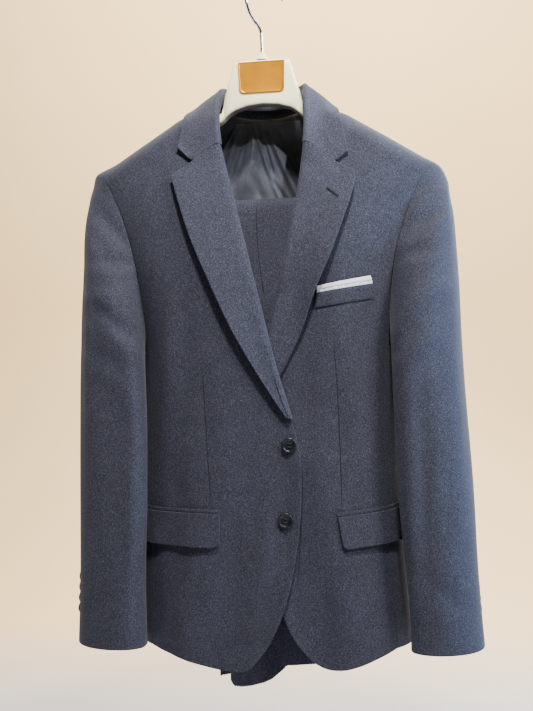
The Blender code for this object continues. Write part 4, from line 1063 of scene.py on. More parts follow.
sleeveCut = {
    "step": 0.0042, "rows": 11, "seed": 41, "swell": 0.0007, "swellSize": 0.15, "creases": 1.45,
    "driftOut": 0.0048, "driftIn": 0.0075, "driftFrom": (0.50, 0.90), "closeUp": 0.0013, "topGap": 0.0006,
    "cuffZ": -0.9060, "cuffSlant": 0.0020, "headLength": (0.060, 0.150),
    # fullness eased into the seam at the head: how high, how far below the seam and how wide
    "eased": (0.0012, 0.013, 0.010),
    # from where to where the inner half and the front half fade in
    "innerHalf": (0.178, 0.222), "frontHalf": (0.020, 0.080),
    # how far the front of each sleeve lies across the body's side, at what height and how tall
    "across": {-1: (0.0132, -0.670, 0.165), 1: (0.0085, -0.745, 0.150)},
    # angles round a sleeve where its panels have their columns
    "top": np.array([-28, -18, -9, 0, 10, 20, 32, 48, 68, 90, 114, 136, 158]),
    "under": np.array([158, 169, 180, 200, 213, 226, 248, 272, 296, 316, 332]),
    # share, angle, depth and height of the soft breaks across the upper arm
    "breaks": ((0.10, 60, 0.0016, 0.030), (0.19, 30, 0.0013, 0.030), (0.36, 80, 0.0018, 0.045),
               (0.47, 110, 0.0012, 0.040)),
    "levels": np.array([
        # z,     outer,  inner,  middle, deep,  lean
        [-0.250, 0.2390, 0.2240, 0.004, 0.026, 0.000],
        [-0.268, 0.2485, 0.2140, 0.004, 0.040, 0.003],
        [-0.307, 0.2525, 0.2000, 0.002, 0.056, 0.014],
        [-0.342, 0.2569, 0.1890, -0.001, 0.066, 0.022],
        [-0.400, 0.2590, 0.1760, -0.006, 0.074, 0.030],
        [-0.476, 0.2612, 0.1665, -0.012, 0.076, 0.036],
        [-0.574, 0.2645, 0.1690, -0.019, 0.071, 0.036],
        [-0.687, 0.2677, 0.1755, -0.027, 0.063, 0.038],
        [-0.800, 0.2702, 0.1790, -0.034, 0.055, 0.036],
        [-0.912, 0.2758, 0.1775, -0.040, 0.047, 0.030],
    ]),
    "armhole": np.array([
        # angle, x,     y,      z
        [0, 0.2282, 0.0040, -0.2581],
        [10, 0.2267, -0.0156, -0.2612],
        [20, 0.2239, -0.0260, -0.2665],
        [32, 0.2180, -0.0358, -0.2780],
        [48, 0.2033, -0.0413, -0.3060],
        [68, 0.1881, -0.0463, -0.3460],
        [90, 0.1756, -0.0499, -0.3940],
        [114, 0.1691, -0.0472, -0.4440],
        [136, 0.1670, -0.0409, -0.4860],
        [148, 0.1661, -0.0394, -0.5020],
        [160, 0.1752, -0.0266, -0.5086],
        [170, 0.1790, -0.0115, -0.5086],
        [180, 0.1806, 0.0040, -0.5086],
        [200, 0.1752, 0.0315, -0.5086],
        [213, 0.1580, 0.0522, -0.5060],
        [226, 0.1636, 0.0498, -0.4860],
        [248, 0.1694, 0.0524, -0.4480],
        [272, 0.1777, 0.0544, -0.4040],
        [296, 0.1902, 0.0527, -0.3540],
        [316, 0.2056, 0.0491, -0.3120],
        [330, 0.2181, 0.0467, -0.2820],
        [341, 0.2240, 0.0384, -0.2680],
        [351, 0.2270, 0.0253, -0.2612],
    ]),
    # x, y, x, y on the photo, how far back, width, depth
    "rightMarks": [
        (98, 216, 127, 246, -0.060, 0.0075, 0.0030),
        (112, 206, 140, 240, -0.055, 0.0060, -0.0016),
        (100, 262, 136, 263, -0.065, 0.0080, 0.0026),
        (92, 300, 118, 296, -0.070, 0.0110, -0.0018),
        (112, 318, 143, 344, -0.075, 0.0085, 0.0028),
        (96, 352, 128, 372, -0.080, 0.0120, 0.0016),
        (90, 270, 92, 420, -0.060, 0.0080, -0.0016),
        (112, 380, 110, 560, -0.085, 0.0140, 0.0018),
        (134, 360, 136, 560, -0.080, 0.0090, -0.0016),
        (122, 585, 100, 610, -0.085, 0.0120, 0.0014),
        (140, 470, 136, 640, -0.080, 0.0060, 0.0010),
        (98, 440, 96, 600, -0.080, 0.0100, 0.0009),
    ],
    "leftMarks": [
        (447, 196, 408, 232, -0.060, 0.0080, 0.0030),
        (430, 188, 398, 222, -0.055, 0.0060, -0.0014),
        (440, 246, 404, 256, -0.065, 0.0080, 0.0022),
        (452, 282, 418, 300, -0.070, 0.0110, -0.0018),
        (420, 318, 398, 350, -0.075, 0.0085, 0.0028),
        (446, 344, 416, 372, -0.080, 0.0120, 0.0018),
        (424, 380, 430, 560, -0.085, 0.0150, 0.0018),
        (452, 300, 462, 520, -0.060, 0.0100, -0.0016),
        (408, 380, 414, 600, -0.080, 0.0080, -0.0014),
        (462, 470, 440, 520, -0.080, 0.0120, 0.0012),
        (436, 590, 470, 612, -0.085, 0.0120, 0.0012),
    ],
    # x, z, x, z, width, depth on the back of each sleeve
    "backMarks": [
        (0.196, -0.390, 0.240, -0.400, 0.010, 0.0026), (0.190, -0.470, 0.236, -0.500, 0.011, 0.0028),
        (0.200, -0.560, 0.250, -0.590, 0.012, 0.0030), (0.204, -0.610, 0.246, -0.620, 0.010, -0.0018),
        (0.214, -0.660, 0.212, -0.840, 0.012, 0.0018), (0.240, -0.640, 0.246, -0.860, 0.010, -0.0014),
        (0.200, -0.320, 0.230, -0.350, 0.010, 0.0020),
    ],
}

fullTurn = np.array([360, 0, 0, 0])
# the armhole's table runs on at both ends, so that it reads smoothly through 0 and 360 degrees
armholeRing = np.vstack([sleeveCut["armhole"][-3:] - fullTurn, sleeveCut["armhole"],
                         sleeveCut["armhole"][:3] + fullTurn])


def sleevePoint(angle, share, side):
    # a point of the sleeve: angle 0 looks outwards, 90 forwards; share 0 is the armhole seam
    hole = readTable(armholeRing, angle % 360)[0, 1:]
    turn = math.radians(angle)
    bottom = sleeveCut["cuffZ"] + sleeveCut["cuffSlant"] * (1 - math.sin(turn))
    z = hole[2] + (bottom - hole[2]) * share
    row = readTable(sleeveCut["levels"], z)[0]
    outer, inner, middle, deep, lean = row[1:]
    # the inner half leans forwards across the body, and the outer half stays a plain oval
    centre = 0.5 * (outer + inner)
    c, s = math.cos(turn), math.sin(turn)
    within = 0.5 - 0.5 * c
    narrow = outer - centre if c > 0 else (centre - inner - 0.52 * lean) / 0.82
    x = centre + narrow * c - lean * s * within
    y = middle - deep * s
    # past the seam the head swells fast at the shoulder and slowly under the arm
    length = sleeveCut["headLength"][0] + sleeveCut["headLength"][1] * within ** 0.8
    hold = (1 - min(1.0, share / length)) ** 2.4
    x = x * (1 - hold) + hole[0] * hold
    y = y * (1 - hold) + hole[1] * hold
    drift = sleeveCut["driftOut"] + (sleeveCut["driftIn"] - sleeveCut["driftOut"]) * within
    return np.array([x * side + drift * float(ease(-z, *sleeveCut["driftFrom"])), y, z])


def sleeveBreaks(angle, share):
    # soft breaks across the upper arm
    total = 0.0
    for at, where, deep, wide in sleeveCut["breaks"]:
        near = math.exp(-(((share - at - 0.0006 * (angle - where)) / wide) ** 2))
        total += deep * near * math.exp(-((((angle - where + 180) % 360 - 180) / 55) ** 2))
    return total


def sleeveOutward(side, turns):
    # the way that the middle of a sleeve's panel looks
    middle = math.radians(0.5 * (turns[0] + turns[-1]))
    return math.cos(middle) * side, -math.sin(middle), 0


def sleevePanel(side, turns):
    shares = np.r_[0.0, 0.010, 0.024, 0.042, 0.066, np.linspace(0.10, 1.0, sleeveCut["rows"])]
    grid = np.array([[sleevePoint(a, s, side) for a in turns] for s in shares])
    # both edges keep clear of the armhole seam and of the seam between the two panels
    grid[0] += unit(grid[1] - grid[0]) * sleeveCut["topGap"]
    normal = turnedTo(grid, sleeveOutward(side, turns))
    for i, share in enumerate(shares):
        for j, angle in enumerate(turns):
            grid[i, j] -= normal[i, j] * sleeveBreaks(angle, share)
    return trimmed(grid)


def makeSleeve(side, word, part):
    turns, outward = sleeveCut[part], sleeveOutward(side, sleeveCut[part])
    grid = sleevePanel(side, turns)
    grid[0] -= unit(grid[1] - grid[0]) * sleeveCut["closeUp"]
    grid = refine(grid, sleeveCut["step"])
    far, z0, tall = sleeveCut["across"][side]
    inner = 1 - ease(grid[..., 0] * side, *sleeveCut["innerHalf"])
    ahead = ease(-grid[..., 1], *sleeveCut["frontHalf"])
    grid[..., 0] -= side * far * inner * ahead * np.exp(-(((grid[..., 2] - z0) / tall) ** 2))
    cut = grid.copy()
    normal = turnedTo(grid, outward)
    flat = grid[..., (0, 2)]
    before = creaseDepth(flat, fromPhoto(sleeveCut[word + "Marks"]))
    behind = creaseDepth(flat, onSide(sleeveCut["backMarks"], side))
    depth = before * np.clip(-normal[..., 1] * 1.4, 0, 1) * sleeveCut["creases"]
    depth += behind * np.clip(normal[..., 1] * 1.4, 0, 1) * sleeveCut["creases"]
    around = np.stack([np.arctan2(grid[..., 1], grid[..., 0] * side) * 0.09, grid[..., 2]], axis=2)
    depth += unevenness(around, sleeveCut["seed"] + side, sleeveCut["swellSize"], sleeveCut["swell"])
    if part == "top":
        high, below, wide = sleeveCut["eased"]
        near = np.exp(-(((cut[..., 2] - cut[:1, :, 2] + below) / wide) ** 2))
        depth -= high * near * np.clip(1 - np.abs(normal[..., 0] * side - 0.3), 0, 1)
    fade = edgeFade(grid, ("top", "first", "last"), 0.010)
    grid = grid - normal * (depth * fade)[..., None]
    sewn(f"sleeve_{part}_{word}", "body", grid, turnedTo(grid, outward), cut)


def makeSleeves():
    for side, word in bothSides:
        for part in ("top", "under"):
            makeSleeve(side, word, part)
    print("sleeves made")


# lapels and collar

lapelCut = {
    "step": 0.0036, "seed": 51, "swell": 0.0005, "swellSize": 0.11,
    "roll": np.array([
        # distance from the roll line, height on the panel
        [0.0095, -0.0053], [0.0050, -0.0052], [0.0014, -0.0042], [-0.0005, -0.0017], [-0.0005, 0.0014],
        [0.0014, 0.0041], [0.0052, 0.0052],
    ]),
    "right": np.array([
        # x, z
        [-0.1185, -0.2772], [-0.1130, -0.2952], [-0.0940, -0.3520], [-0.0690, -0.4110],
        [-0.0370, -0.4830], [-0.0010, -0.5480], [0.0260, -0.5920], [0.0365, -0.6080],
    ]),
    "left": np.array([
        # x, z
        [0.1265, -0.2766], [0.1260, -0.2948], [0.1120, -0.3400], [0.0930, -0.3920], [0.0720, -0.4360],
        [0.0510, -0.4930], [0.0180, -0.5520], [-0.0130, -0.5900],
    ]),
    "gorge": {"right": (-0.0520, -0.2360), "left": (0.0598, -0.2404)},
    "stand": {"right": 0.0092, "left": 0.0100},     # how far the free edge stands off
    "flat": {"right": 0.0, "left": 0.85},           # how much of that is lost towards the foot
    "underCollar": (0.0005, 0.0010),                # the top's place behind and above the collar's end
}
collarCut = {
    "step": 0.0040, "gorgeDip": 0.019, "notchShare": 0.63, "bulge": 0.0012,
    "endShift": 0.0040, "endRise": 0.0020,
    # the cloth's turn at the fold: out from its crest and down from it
    "turn": ((-0.0032, 0.0040), (-0.0027, 0.0014), (-0.0010, 0.0), (0.0010, 0.0), (0.0027, 0.0014),
             (0.0034, 0.0040)),
    "clear": (0.0038, 0.0014),      # how far the leaf keeps off the fronts, and more at its ends
    "rings": np.array([
        # share, fold x, fold y, fold z, edge x, edge y, edge z, seam x, seam y, seam z
        [0.00, 0.0555, -0.0590, -0.2360, 0.1150, -0.0580, -0.2430, 0.0610, -0.0415, -0.2370],
        [0.12, 0.0590, -0.0490, -0.2040, 0.1105, -0.0450, -0.2200, 0.0610, -0.0330, -0.2090],
        [0.25, 0.0600, -0.0320, -0.1730, 0.1060, -0.0290, -0.1975, 0.0600, -0.0240, -0.1860],
        [0.38, 0.0590, -0.0110, -0.1500, 0.1025, -0.0060, -0.1790, 0.0590, -0.0080, -0.1690],
        [0.52, 0.0560, 0.0130, -0.1400, 0.0970, 0.0220, -0.1770, 0.0560, 0.0110, -0.1640],
        [0.68, 0.0465, 0.0370, -0.1370, 0.0830, 0.0480, -0.1830, 0.0470, 0.0330, -0.1620],
        [0.84, 0.0275, 0.0550, -0.1360, 0.0500, 0.0690, -0.1900, 0.0275, 0.0500, -0.1630],
        [1.00, 0.0000, 0.0620, -0.1355, 0.0000, 0.0760, -0.1925, 0.0000, 0.0560, -0.1640],
    ]),
}


def lapelGrid(side, word):
    edge, free, gorge = frontCut[word + "Edge"], lapelCut[word], lapelCut["gorge"][word]
    turnRows = lapelCut["roll"]
    rows = np.r_[0.0, np.linspace(0.05, 0.975, 16)]
    line = edge[(edge[:, 1] < gorge[1] + 0.004) & (edge[:, 1] > free[-1, 1] - 0.001)]
    last = [np.interp(-free[-1, 1] + 0.0035, -edge[:, 1], edge[:, 0]), free[-1, 1] - 0.0035]
    line = np.vstack([[gorge], line[line[:, 1] < gorge[1] - 0.004], [last]])
    roll = alongCurve(line, rows)
    outer = alongCurve(free, rows)
    across = np.linspace(0.15, 1.0, 6)
    grid = np.zeros((len(rows), len(turnRows) + len(across), 3))
    for i, v in enumerate(rows):
        way = outer[i] - roll[i]
        width = np.linalg.norm(way)
        way = way / max(width, 1e-6)
        turn = max(0.6, min(1.0, width / 0.010))
        stand = lapelCut["stand"][word] * math.sin(math.pi * min(1.0, 0.16 + 0.84 * v)) ** 0.8
        stand *= 1 - lapelCut["flat"][word] * float(ease(v, 0.50, 0.75))
        for j, (off, high) in enumerate(turnRows):
            spot = roll[i] + way * off * turn
            grid[i, j] = (spot[0], frontFace(spot[0], spot[1], side) - high, spot[1])
        for j, u in enumerate(across):
            spot = roll[i] + way * max(width * u, 0.0035 * turn + 0.0006 * (j + 1))
            high = turnRows[-1, 1] + stand * u ** 1.6
            y = frontFace(spot[0], spot[1], side) - high
            grid[i, len(turnRows) + j] = (spot[0], y, spot[1])
    return trimmed(grid, 0.00025)


def collarGrid():
    # fold, leaf and stand in one strip that runs from one gorge seam round the neck to the other
    notch = collarCut["notchShare"]
    half = np.r_[0.0, 0.04, np.linspace(0.11, 1.0, 10)]
    left = readTable(collarCut["rings"], half)
    path = np.vstack([left * np.array([1, -1, 1, 1, -1, 1, 1, -1, 1, 1]), left[::-1][1:]])
    fold, edge, seam = path[:, 1:4], path[:, 4:7], path[:, 7:10]
    shares = np.r_[half, (2 - half[::-1])[1:]]
    # the overlap of the fronts draws both ends towards the wearer's left
    drawn = 1 - ease(np.minimum(shares, 2 - shares), 0.0, 0.3)
    raised = drawn * np.where(shares < 1, 1, -1)
    for line in (fold, edge, seam):
        line[:, 0] += collarCut["endShift"] * drawn
        line[:, 2] += collarCut["endRise"] * raised
    edge[:, 2] += hanging["tilt"] * raised
    ahead = unit(np.gradient(fold, axis=0))
    grid = []
    for i in range(len(path)):
        leaf = edge[i] - fold[i]
        leaf /= np.linalg.norm(leaf)
        crest = -(leaf + (seam[i] - fold[i]) / np.linalg.norm(seam[i] - fold[i]))
        crest -= ahead[i] * np.dot(crest, ahead[i])
        crest /= np.linalg.norm(crest)
        out = leaf - ahead[i] * np.dot(leaf, ahead[i]) - crest * np.dot(leaf, crest)
        out /= np.linalg.norm(out)
        near = min(shares[i], 2 - shares[i])
        wide = 1.55 - 0.55 * float(ease(near, 0.0, 0.35))
        section = [seam[i] - out * 0.0022, 0.5 * (seam[i] + fold[i]) - out * 0.0032]
        section += [fold[i] + out * off * wide - crest * low for off, low in collarCut["turn"]]
        start = section[-1]
        dip = collarCut["gorgeDip"] * (1 - ease(near, 0.0, 0.24))
        clear = collarCut["clear"][0] + collarCut["clear"][1] * (1 - float(ease(near, 0.25, 0.42)))
        for u in (0.18, 0.36, 0.50, notch, 0.82, 1.0):
            spot = start + (edge[i] - start) * u + out * (collarCut["bulge"] * math.sin(math.pi * u))
            spot[2] -= dip * (u / notch if u <= notch else (1 - u) / (1 - notch))
            section.append(liftOff(spot, clear))
        grid.append(section)
    return trimmed(np.array(grid), 0.00025)


def makeLapels():
    leaf = collarGrid()
    collarEnds = {"right": leaf[0, 7:12], "left": leaf[-1, 7:12]}
    for side, word in bothSides:
        grid = lapelGrid(side, word)
        # the lapel's top is sewn to the collar's end as far as the notch
        end = collarEnds[word][np.argsort(np.abs(collarEnds[word][:, 0]))]
        reach, here = np.abs(end[:, 0]), np.abs(grid[0, :, 0])
        held = 1 - ease(here, reach[-1] - 0.0005, reach[-1] + 0.0045)
        held = held * np.clip(np.arange(len(here)) / 6, 0, 1)
        for axis, off in zip((1, 2), lapelCut["underCollar"]):
            grid[0, :, axis] += held * (np.interp(here, reach, end[:, axis]) + off - grid[0, :, axis])
        grid = refine(grid, lapelCut["step"], closeBorders)
        cut = grid.copy()
        flat, seed = grid[..., (0, 2)], lapelCut["seed"] + side
        depth = unevenness(flat, seed, lapelCut["swellSize"], lapelCut["swell"])
        fade = edgeFade(grid, ("top", "first"))
        grid = grid - turnedTo(grid, towardsFront) * (depth * fade)[..., None]
        sewn(f"lapel_{word}", "turned", grid, turnedTo(grid, towardsFront), cut)
    grid = refine(collarGrid(), collarCut["step"], closeBorders)
    sewn("collar", "turned", grid, turnedTo(grid, (0, 1, 0.6)), grid)
    print("lapels and collar made")


# pockets

pocketCut = {
    # top inner, top outer, bottom outer, bottom inner
    "flaps": {
        -1: ((-0.0600, -0.7245), (-0.1900, -0.7235), (-0.1900, -0.7680), (-0.0620, -0.7695)),
        1: ((0.0935, -0.7300), (0.1890, -0.7225), (0.1890, -0.7655), (0.1000, -0.7725)),
    },
    "welt": ((0.0735, -0.4390), (0.1490, -0.4285), (0.1470, -0.4480), (0.0705, -0.4585)),
    "square": ((0.0745, -0.4300), (0.1430, -0.4182), (0.1462, -0.4283), (0.0738, -0.4386)),
    # rows, columns, height above the front at the top and at the foot, and a flap's rounded corner
    "laid": {"flap": (6, 15, 0.0035, 0.0048, 0.0046), "jetting": (2, 15, 0.0027, 0.0027),
             "welt": (4, 8, 0.0019, 0.0015), "square": (3, 8, 0.0018, 0.0018)},
    # how fine their grids are, and the rows near their borders
    "fine": {"flap": (0.0030, closeBorders), "jetting": (0.0016, (0.0005,)),
             "welt": (0.0022, (0.0006, 0.0015)), "square": (0.0009, (0.0005,))},
    "flapSeed": 61, "flapSwell": 0.0006, "flapCurl": 0.0007, "jettingTall": 0.0052, "jettingShort": 0.003,
    "folded": 0.0010, "puckers": 0.0005, "ripples": 0.0002,     # heights in the square
}


def aroundSide(x, z):
    # turns a distance measured along the cloth from the middle into x where the body rounds away
    half = float(readTable(jacketForm["levels"], z)[0, 1])
    flat = half - 0.030
    over = abs(x) - flat
    if over <= 0:
        return x
    return math.copysign(flat + (half - flat) * math.sin(min(1.0, over / 0.055) * math.pi / 2), x)


def onFront(corners, side, rows, columns, high, foot, rounded=0.0):
    # a small piece laid on a front: corners run top inner, top outer, bottom outer, bottom inner
    a, b, c, d = [np.array(p) for p in corners]
    shares, steps = np.linspace(0, 1, rows), np.linspace(0, 1, columns)
    grid = np.zeros((rows, columns, 3))
    for i, v in enumerate(shares):
        for j, u in enumerate(steps):
            spot = (a * (1 - u) + b * u) * (1 - v) + (d * (1 - u) + c * u) * v
            if rounded:
                cut = max(0.0, 1 - u * np.linalg.norm(b - a) / rounded)
                spot = spot + (a - d) / np.linalg.norm(a - d) * v * rounded * (1 - math.sqrt(1 - cut**2))
            spot[0] = aroundSide(spot[0], spot[1])
            settle = 1 - 0.6 * float(ease(abs(spot[0]), 0.150, 0.176))
            lift = high + (foot - high) * v * settle
            plain = float(frontY(spot[0], spot[1]))
            grid[i, j] = liftOff((spot[0], plain, spot[1]), lift)
            grid[i, j, 1] += float(frontFace(spot[0], spot[1], side)) - plain
    return grid


def laid(kind, corners, side):
    # the fine grid of a small piece on a front
    return refine(onFront(corners, side, *pocketCut["laid"][kind]), *pocketCut["fine"][kind])


def makeFlap(side, word):
    grid = laid("flap", pocketCut["flaps"][side], side)
    depth = unevenness(grid[..., (0, 2)], pocketCut["flapSeed"] + side, 0.07, pocketCut["flapSwell"])
    curl = np.linspace(0, 1, grid.shape[0])[:, None] ** 2 * pocketCut["flapCurl"]
    made = grid - turnedTo(grid, towardsFront) * ((depth - curl) * edgeFade(grid, ("top",)))[..., None]
    sewn(f"flap_{word}", "flap", made, turnedTo(made, towardsFront), grid)


def makeJetting(side, word):
    inner, outer = [np.array(spot) for spot in pocketCut["flaps"][side][:2]]
    outer = outer - (pocketCut["jettingShort"] * side, 0)
    up = np.array([0.0, pocketCut["jettingTall"]])
    corners = (inner + up, outer + up, outer + up * 0.07, inner + up * 0.07)
    grid = laid("jetting", corners, side)
    sewn(f"jetting_{word}", "jetting", grid, turnedTo(grid, towardsFront), grid)


def makePockets():
    for side, word in bothSides:
        makeFlap(side, word)
        makeJetting(side, word)
    grid = laid("welt", pocketCut["welt"], 1)
    sewn("breast_welt", "welt", grid, turnedTo(grid, towardsFront), grid)
    grid = laid("square", pocketCut["square"], 1)
    x, rows = grid[..., 0], np.linspace(0, 1, grid.shape[0])[:, None]
    # two folded layers, the upper one set back, with small puckers
    step = pocketCut["folded"] * (1 - ease(rows, 0.52, 0.58)) - pocketCut["ripples"]
    puckers = pocketCut["puckers"] * ease(rows, 0.55, 0.70) * np.sin(x * 1500 + 3 * np.sin(x * 420))
    high = step + puckers + pocketCut["ripples"] * np.sin(x * 210)
    grid = grid + turnedTo(grid, towardsFront) * high[..., None]
    sewn("pocket_square", "square", grid, turnedTo(grid, towardsFront), grid)
    print("pockets made")


# buttons, their thread, and the lapel's buttonhole

buttonForm = {
    "front": {"size": 0.0200, "segments": 56, "off": 0.0003},
    "cuff": {"size": 0.0135, "segments": 36, "off": 0.0006},
    "deep": 0.21,       # depth as a share of the size
    # height and radius as shares of the depth and of the radius
    "profile": [(0.0, 0.0), (0.0, 0.70), (0.08, 0.82), (0.26, 0.93), (0.45, 0.985), (0.62, 1.0),
                (0.80, 0.985), (0.92, 0.945), (1.0, 0.88), (0.985, 0.82), (0.90, 0.755), (0.76, 0.68),
                (0.68, 0.58), (0.64, 0.40), (0.64, 0.0)],
    "holeApart": 0.1178, "holeSize": 0.095, "holeHigh": 0.64,
    "rim": [(-0.05, 0.90), (0.05, 0.80), (0.06, 0.62), (-0.02, 0.50)],
    "fronts": (("upper", 0.0335, -0.6360), ("lower", 0.0260, -0.7340)),
    # angle round the sleeve, share down it of the lowest cuff button, and the pitch
    "cuffTurn": {"right": -3, "left": -28}, "cuffFirst": 0.9360, "cuffPitch": 0.0225,
}


def makeButton(name, centre, axis, look):
    # a turned disc, and the rims of its holes with the thread through them
    size = look["size"]
    deep, radius = size * buttonForm["deep"], size / 2
    profile = [(h * deep, r * radius) for h, r in buttonForm["profile"]]
    disc = turnedProfile(name, profile, centre, axis, look["segments"], [hornDark])
    axis, first, second = framed(axis)
    top = np.array(centre) + axis * deep * buttonForm["holeHigh"]
    apart, wide = buttonForm["holeApart"] * size, buttonForm["holeSize"] * size
    rim = [(h * deep, r * wide) for h, r in buttonForm["rim"]]
    small = []
    for a, b in ((1, 1), (-1, 1), (-1, -1), (1, -1)):
        spot = top + first * apart * a + second * apart * b
        small.append(turnedProfile("rim", rim, spot, axis, 14, [threadDark], 60))
    for b in (1, -1):
        start = top + first * apart + second * apart * b
        end = top - first * apart + second * apart * b
        path = [start + (end - start) * t + axis * (0.0001 + 0.00055 * math.sin(math.pi * t))
                for t in np.linspace(0, 1, 9)]
        small.append(roundBar("strand", path, wide * 0.36, 8, [threadDark]))
    keep(disc, name)
    keep(joined(name + "_thread", small))


def makeButtons():
    for word, x, z in buttonForm["fronts"]:
        y = float(frontFace(x, z, -1)) - buttonForm["front"]["off"]
        makeButton(f"button_{word}", (x, y, z), towardsFront, buttonForm["front"])
    for side, word in bothSides:
        turn, look = buttonForm["cuffTurn"][word], buttonForm["cuff"]
        for k in range(4):
            share = buttonForm["cuffFirst"] - buttonForm["cuffPitch"] * k
            spot = sleevePoint(turn, share, side)
            across = sleevePoint(turn + 8, share, side) - sleevePoint(turn - 8, share, side)
            down = sleevePoint(turn, share + 0.01, side) - sleevePoint(turn, share - 0.01, side)
            axis = np.cross(across, down)
            axis /= np.linalg.norm(axis)
            if axis[0] * side < 0:
                axis = -axis
            makeButton(f"cuff_button_{word}_{k + 1}", spot + axis * look["off"], tuple(axis), look)
    print("buttons made")


def faceAhead(name):
    # finds where a point x, z meets a piece first from in front
    mesh = pieces[name].data
    points = [v.co.copy() for v in mesh.vertices]
    tree = BVHTree.FromPolygons(points, [list(p.vertices) for p in mesh.polygons])

    def surface(x, z):
        hit = tree.ray_cast(Vector((x, -0.30, z)), Vector((0, 1, 0)))
        return hit[0].y if hit[0] is not None else None

    return surface


def tiltBack(x, y, z):
    # what a point found on a hung piece is raised by, so that the tilt brings it back
    return float(tiltAt(np.array([[x, y, z]]))[0])


seamLines = {
    "wide": 0.0011, "wider": {"front_edge_shadow": 1.5}, "step": 0.006, "thick": 0.0003,
    "section": ((-0.5, 0.00015), (0.0, 0.00040), (0.5, 0.00015)),      # place across and height
    # the strip at the front edge is a painted shadow: dark thread material laid where the overlapping fronts
    # cast shade
    "dark": ("front_edge_shadow", "buttonhole_slit"),
    # on what, how far back, then x, y on the photo
    "lines": {
        "dart_right": ("front_right", -0.082, [(202, 366), (204, 400), (207, 450), (211.5, 511)]),
        "dart_left": ("front_left", -0.080, [(333, 337), (336, 372), (339, 430), (342, 512)]),
        "trouser_seam": ("trouser_leg_outer", -0.020, [(255.5, 198), (256, 212), (258, 250), (265, 300)]),
        "front_edge_shadow": ("front_left", -0.085, [(301.7, 467), (301.5, 505), (299.6, 545), (296.6, 590)]),
        "buttonhole_slit": ("lapel_left", -0.0755, [(325.5, 185.5), (329, 189), (332, 191.5),
                                                    (338.5, 195.5)]),
    },
}


def makeSeamLines():
    # shallow folds whose sewn edge is painted shade: the darts and the trouser seam take a darkened copy of
    # the cloth, and the dark strip along the front edge is a painted shadow
    for name, (host, back, spots) in seamLines["lines"].items():
        surface = faceAhead(host)
        knots = np.array([placeFromPhoto(*spot, back) for spot in spots])
        length = lengthsAlong(knots)
        places = np.linspace(0, length[-1], int(length[-1] / seamLines["step"]) + 2)
        ends = np.minimum(places, places[-1] - places) / places[-1]
        wide = seamLines["wide"] * seamLines["wider"].get(name, 1.0) * np.minimum(1, 0.25 + 6 * ends)
        grid = []
        for (x, z), w in zip(throughKnots(length, knots, places), wide):
            row = []
            for off, high in seamLines["section"]:
                met = surface(x + off * w, z)
                y = (row[-1][1] if met is None else met) - high
                row.append((x + off * w, y, z + tiltBack(x + off * w, y, z)))
            grid.append(row)
        grid = np.array(grid)
        # the darkened cloth paints the shade in the seams, and the dark thread material paints the shadow at
        # the front edge
        made = threadDark if name in seamLines["dark"] else clothSeamShade
        piece = shell(name, grid, turnedTo(grid, towardsFront), seamLines["thick"], [made], 0.0, 90)
        keep(piece)
    print("stitched lines made")


# x, y, x, y on the photo and how far back
buttonhole = {"line": (326, 186, 338, 195, -0.0865), "stitches": 15, "long": 0.0034, "thick": 0.00080,
              "off": 0.0003, "bow": 0.0004}


def makeButtonhole():
    surface = faceAhead("lapel_left")
    *ends, back = buttonhole["line"]
    (x0, z0), (x1, z1) = placeFromPhoto(*ends[:2], back), placeFromPhoto(*ends[2:], back)
    way = np.array([x1 - x0, z1 - z0])
    size = np.linalg.norm(way)
    way /= size
    aside = np.array([-way[1], way[0]])
    bars = []
    for k in range(buttonhole["stitches"]):
        for sign in (1, -1):
            spot = np.array([x0, z0]) + way * size * (k + 0.5) / buttonhole["stitches"]
            path = []
            for t in np.linspace(0, 1, 5):
                x, z = spot + aside * sign * (0.0001 + buttonhole["long"] * 0.5 * t)
                rise = buttonhole["off"] + buttonhole["bow"] * math.sin(math.pi * min(1, t + 0.2))
                path.append((x, surface(x, z) - rise, z + tiltBack(x, 0.0, z)))
            bars.append(roundBar("stitch", path, buttonhole["thick"] / 2, 6, [threadDark]))
    keep(joined("lapel_buttonhole", bars))
    print("lapel buttonhole made")


# lining of the back, seen in the neck opening

liningForm = {
    "high": -0.1840, "tall": 0.6870, "gap": 0.0040, "least": 0.0068,     # gap to the back, and the least one
    "half": ([0, 0.06, 0.15, 0.35, 0.5, 1.0], [0.046, 0.074, 0.112, 0.128, 0.124, 0.132]),
    "rows": np.r_[np.linspace(0, 0.26, 90), np.linspace(0.27, 1, 60)], "columns": np.linspace(-1, 1, 130),
    "fan": 0.0022, "forward": 0.0080, "forwardTop": 0.0035,
    "share": 0.50, "deepest": (-0.018, 0.0055),      # how much of the marks is taken, and their bounds
    # x, y, x, y on the photo, how far back, width, depth: below 0 stands forward
    "marks": [
        (257, 128, 252, 162, 0.060, 0.0070, -0.0110),
        (252, 162, 243, 200, 0.060, 0.0085, -0.0110),
        (258, 131, 262, 150, 0.060, 0.0030, -0.0060),
        (262, 150, 280, 198, 0.060, 0.0030, -0.0060),
        (265, 146, 274, 182, 0.060, 0.0026, 0.0070),
        (274, 182, 284, 200, 0.060, 0.0028, 0.0060),
        (270, 136, 296, 196, 0.060, 0.0032, -0.0070),
        (280, 140, 300, 180, 0.060, 0.0030, 0.0060),
        (243, 140, 230, 176, 0.060, 0.0030, 0.0060),
        (236, 142, 226, 170, 0.060, 0.0030, -0.0055),
        (250, 170, 262, 200, 0.060, 0.0050, 0.0035),
    ],
    "falls": [(-0.05, -0.36, -0.06, -0.80, 0.012, -0.003), (0.05, -0.34, 0.06, -0.80, 0.012, -0.003)],
}


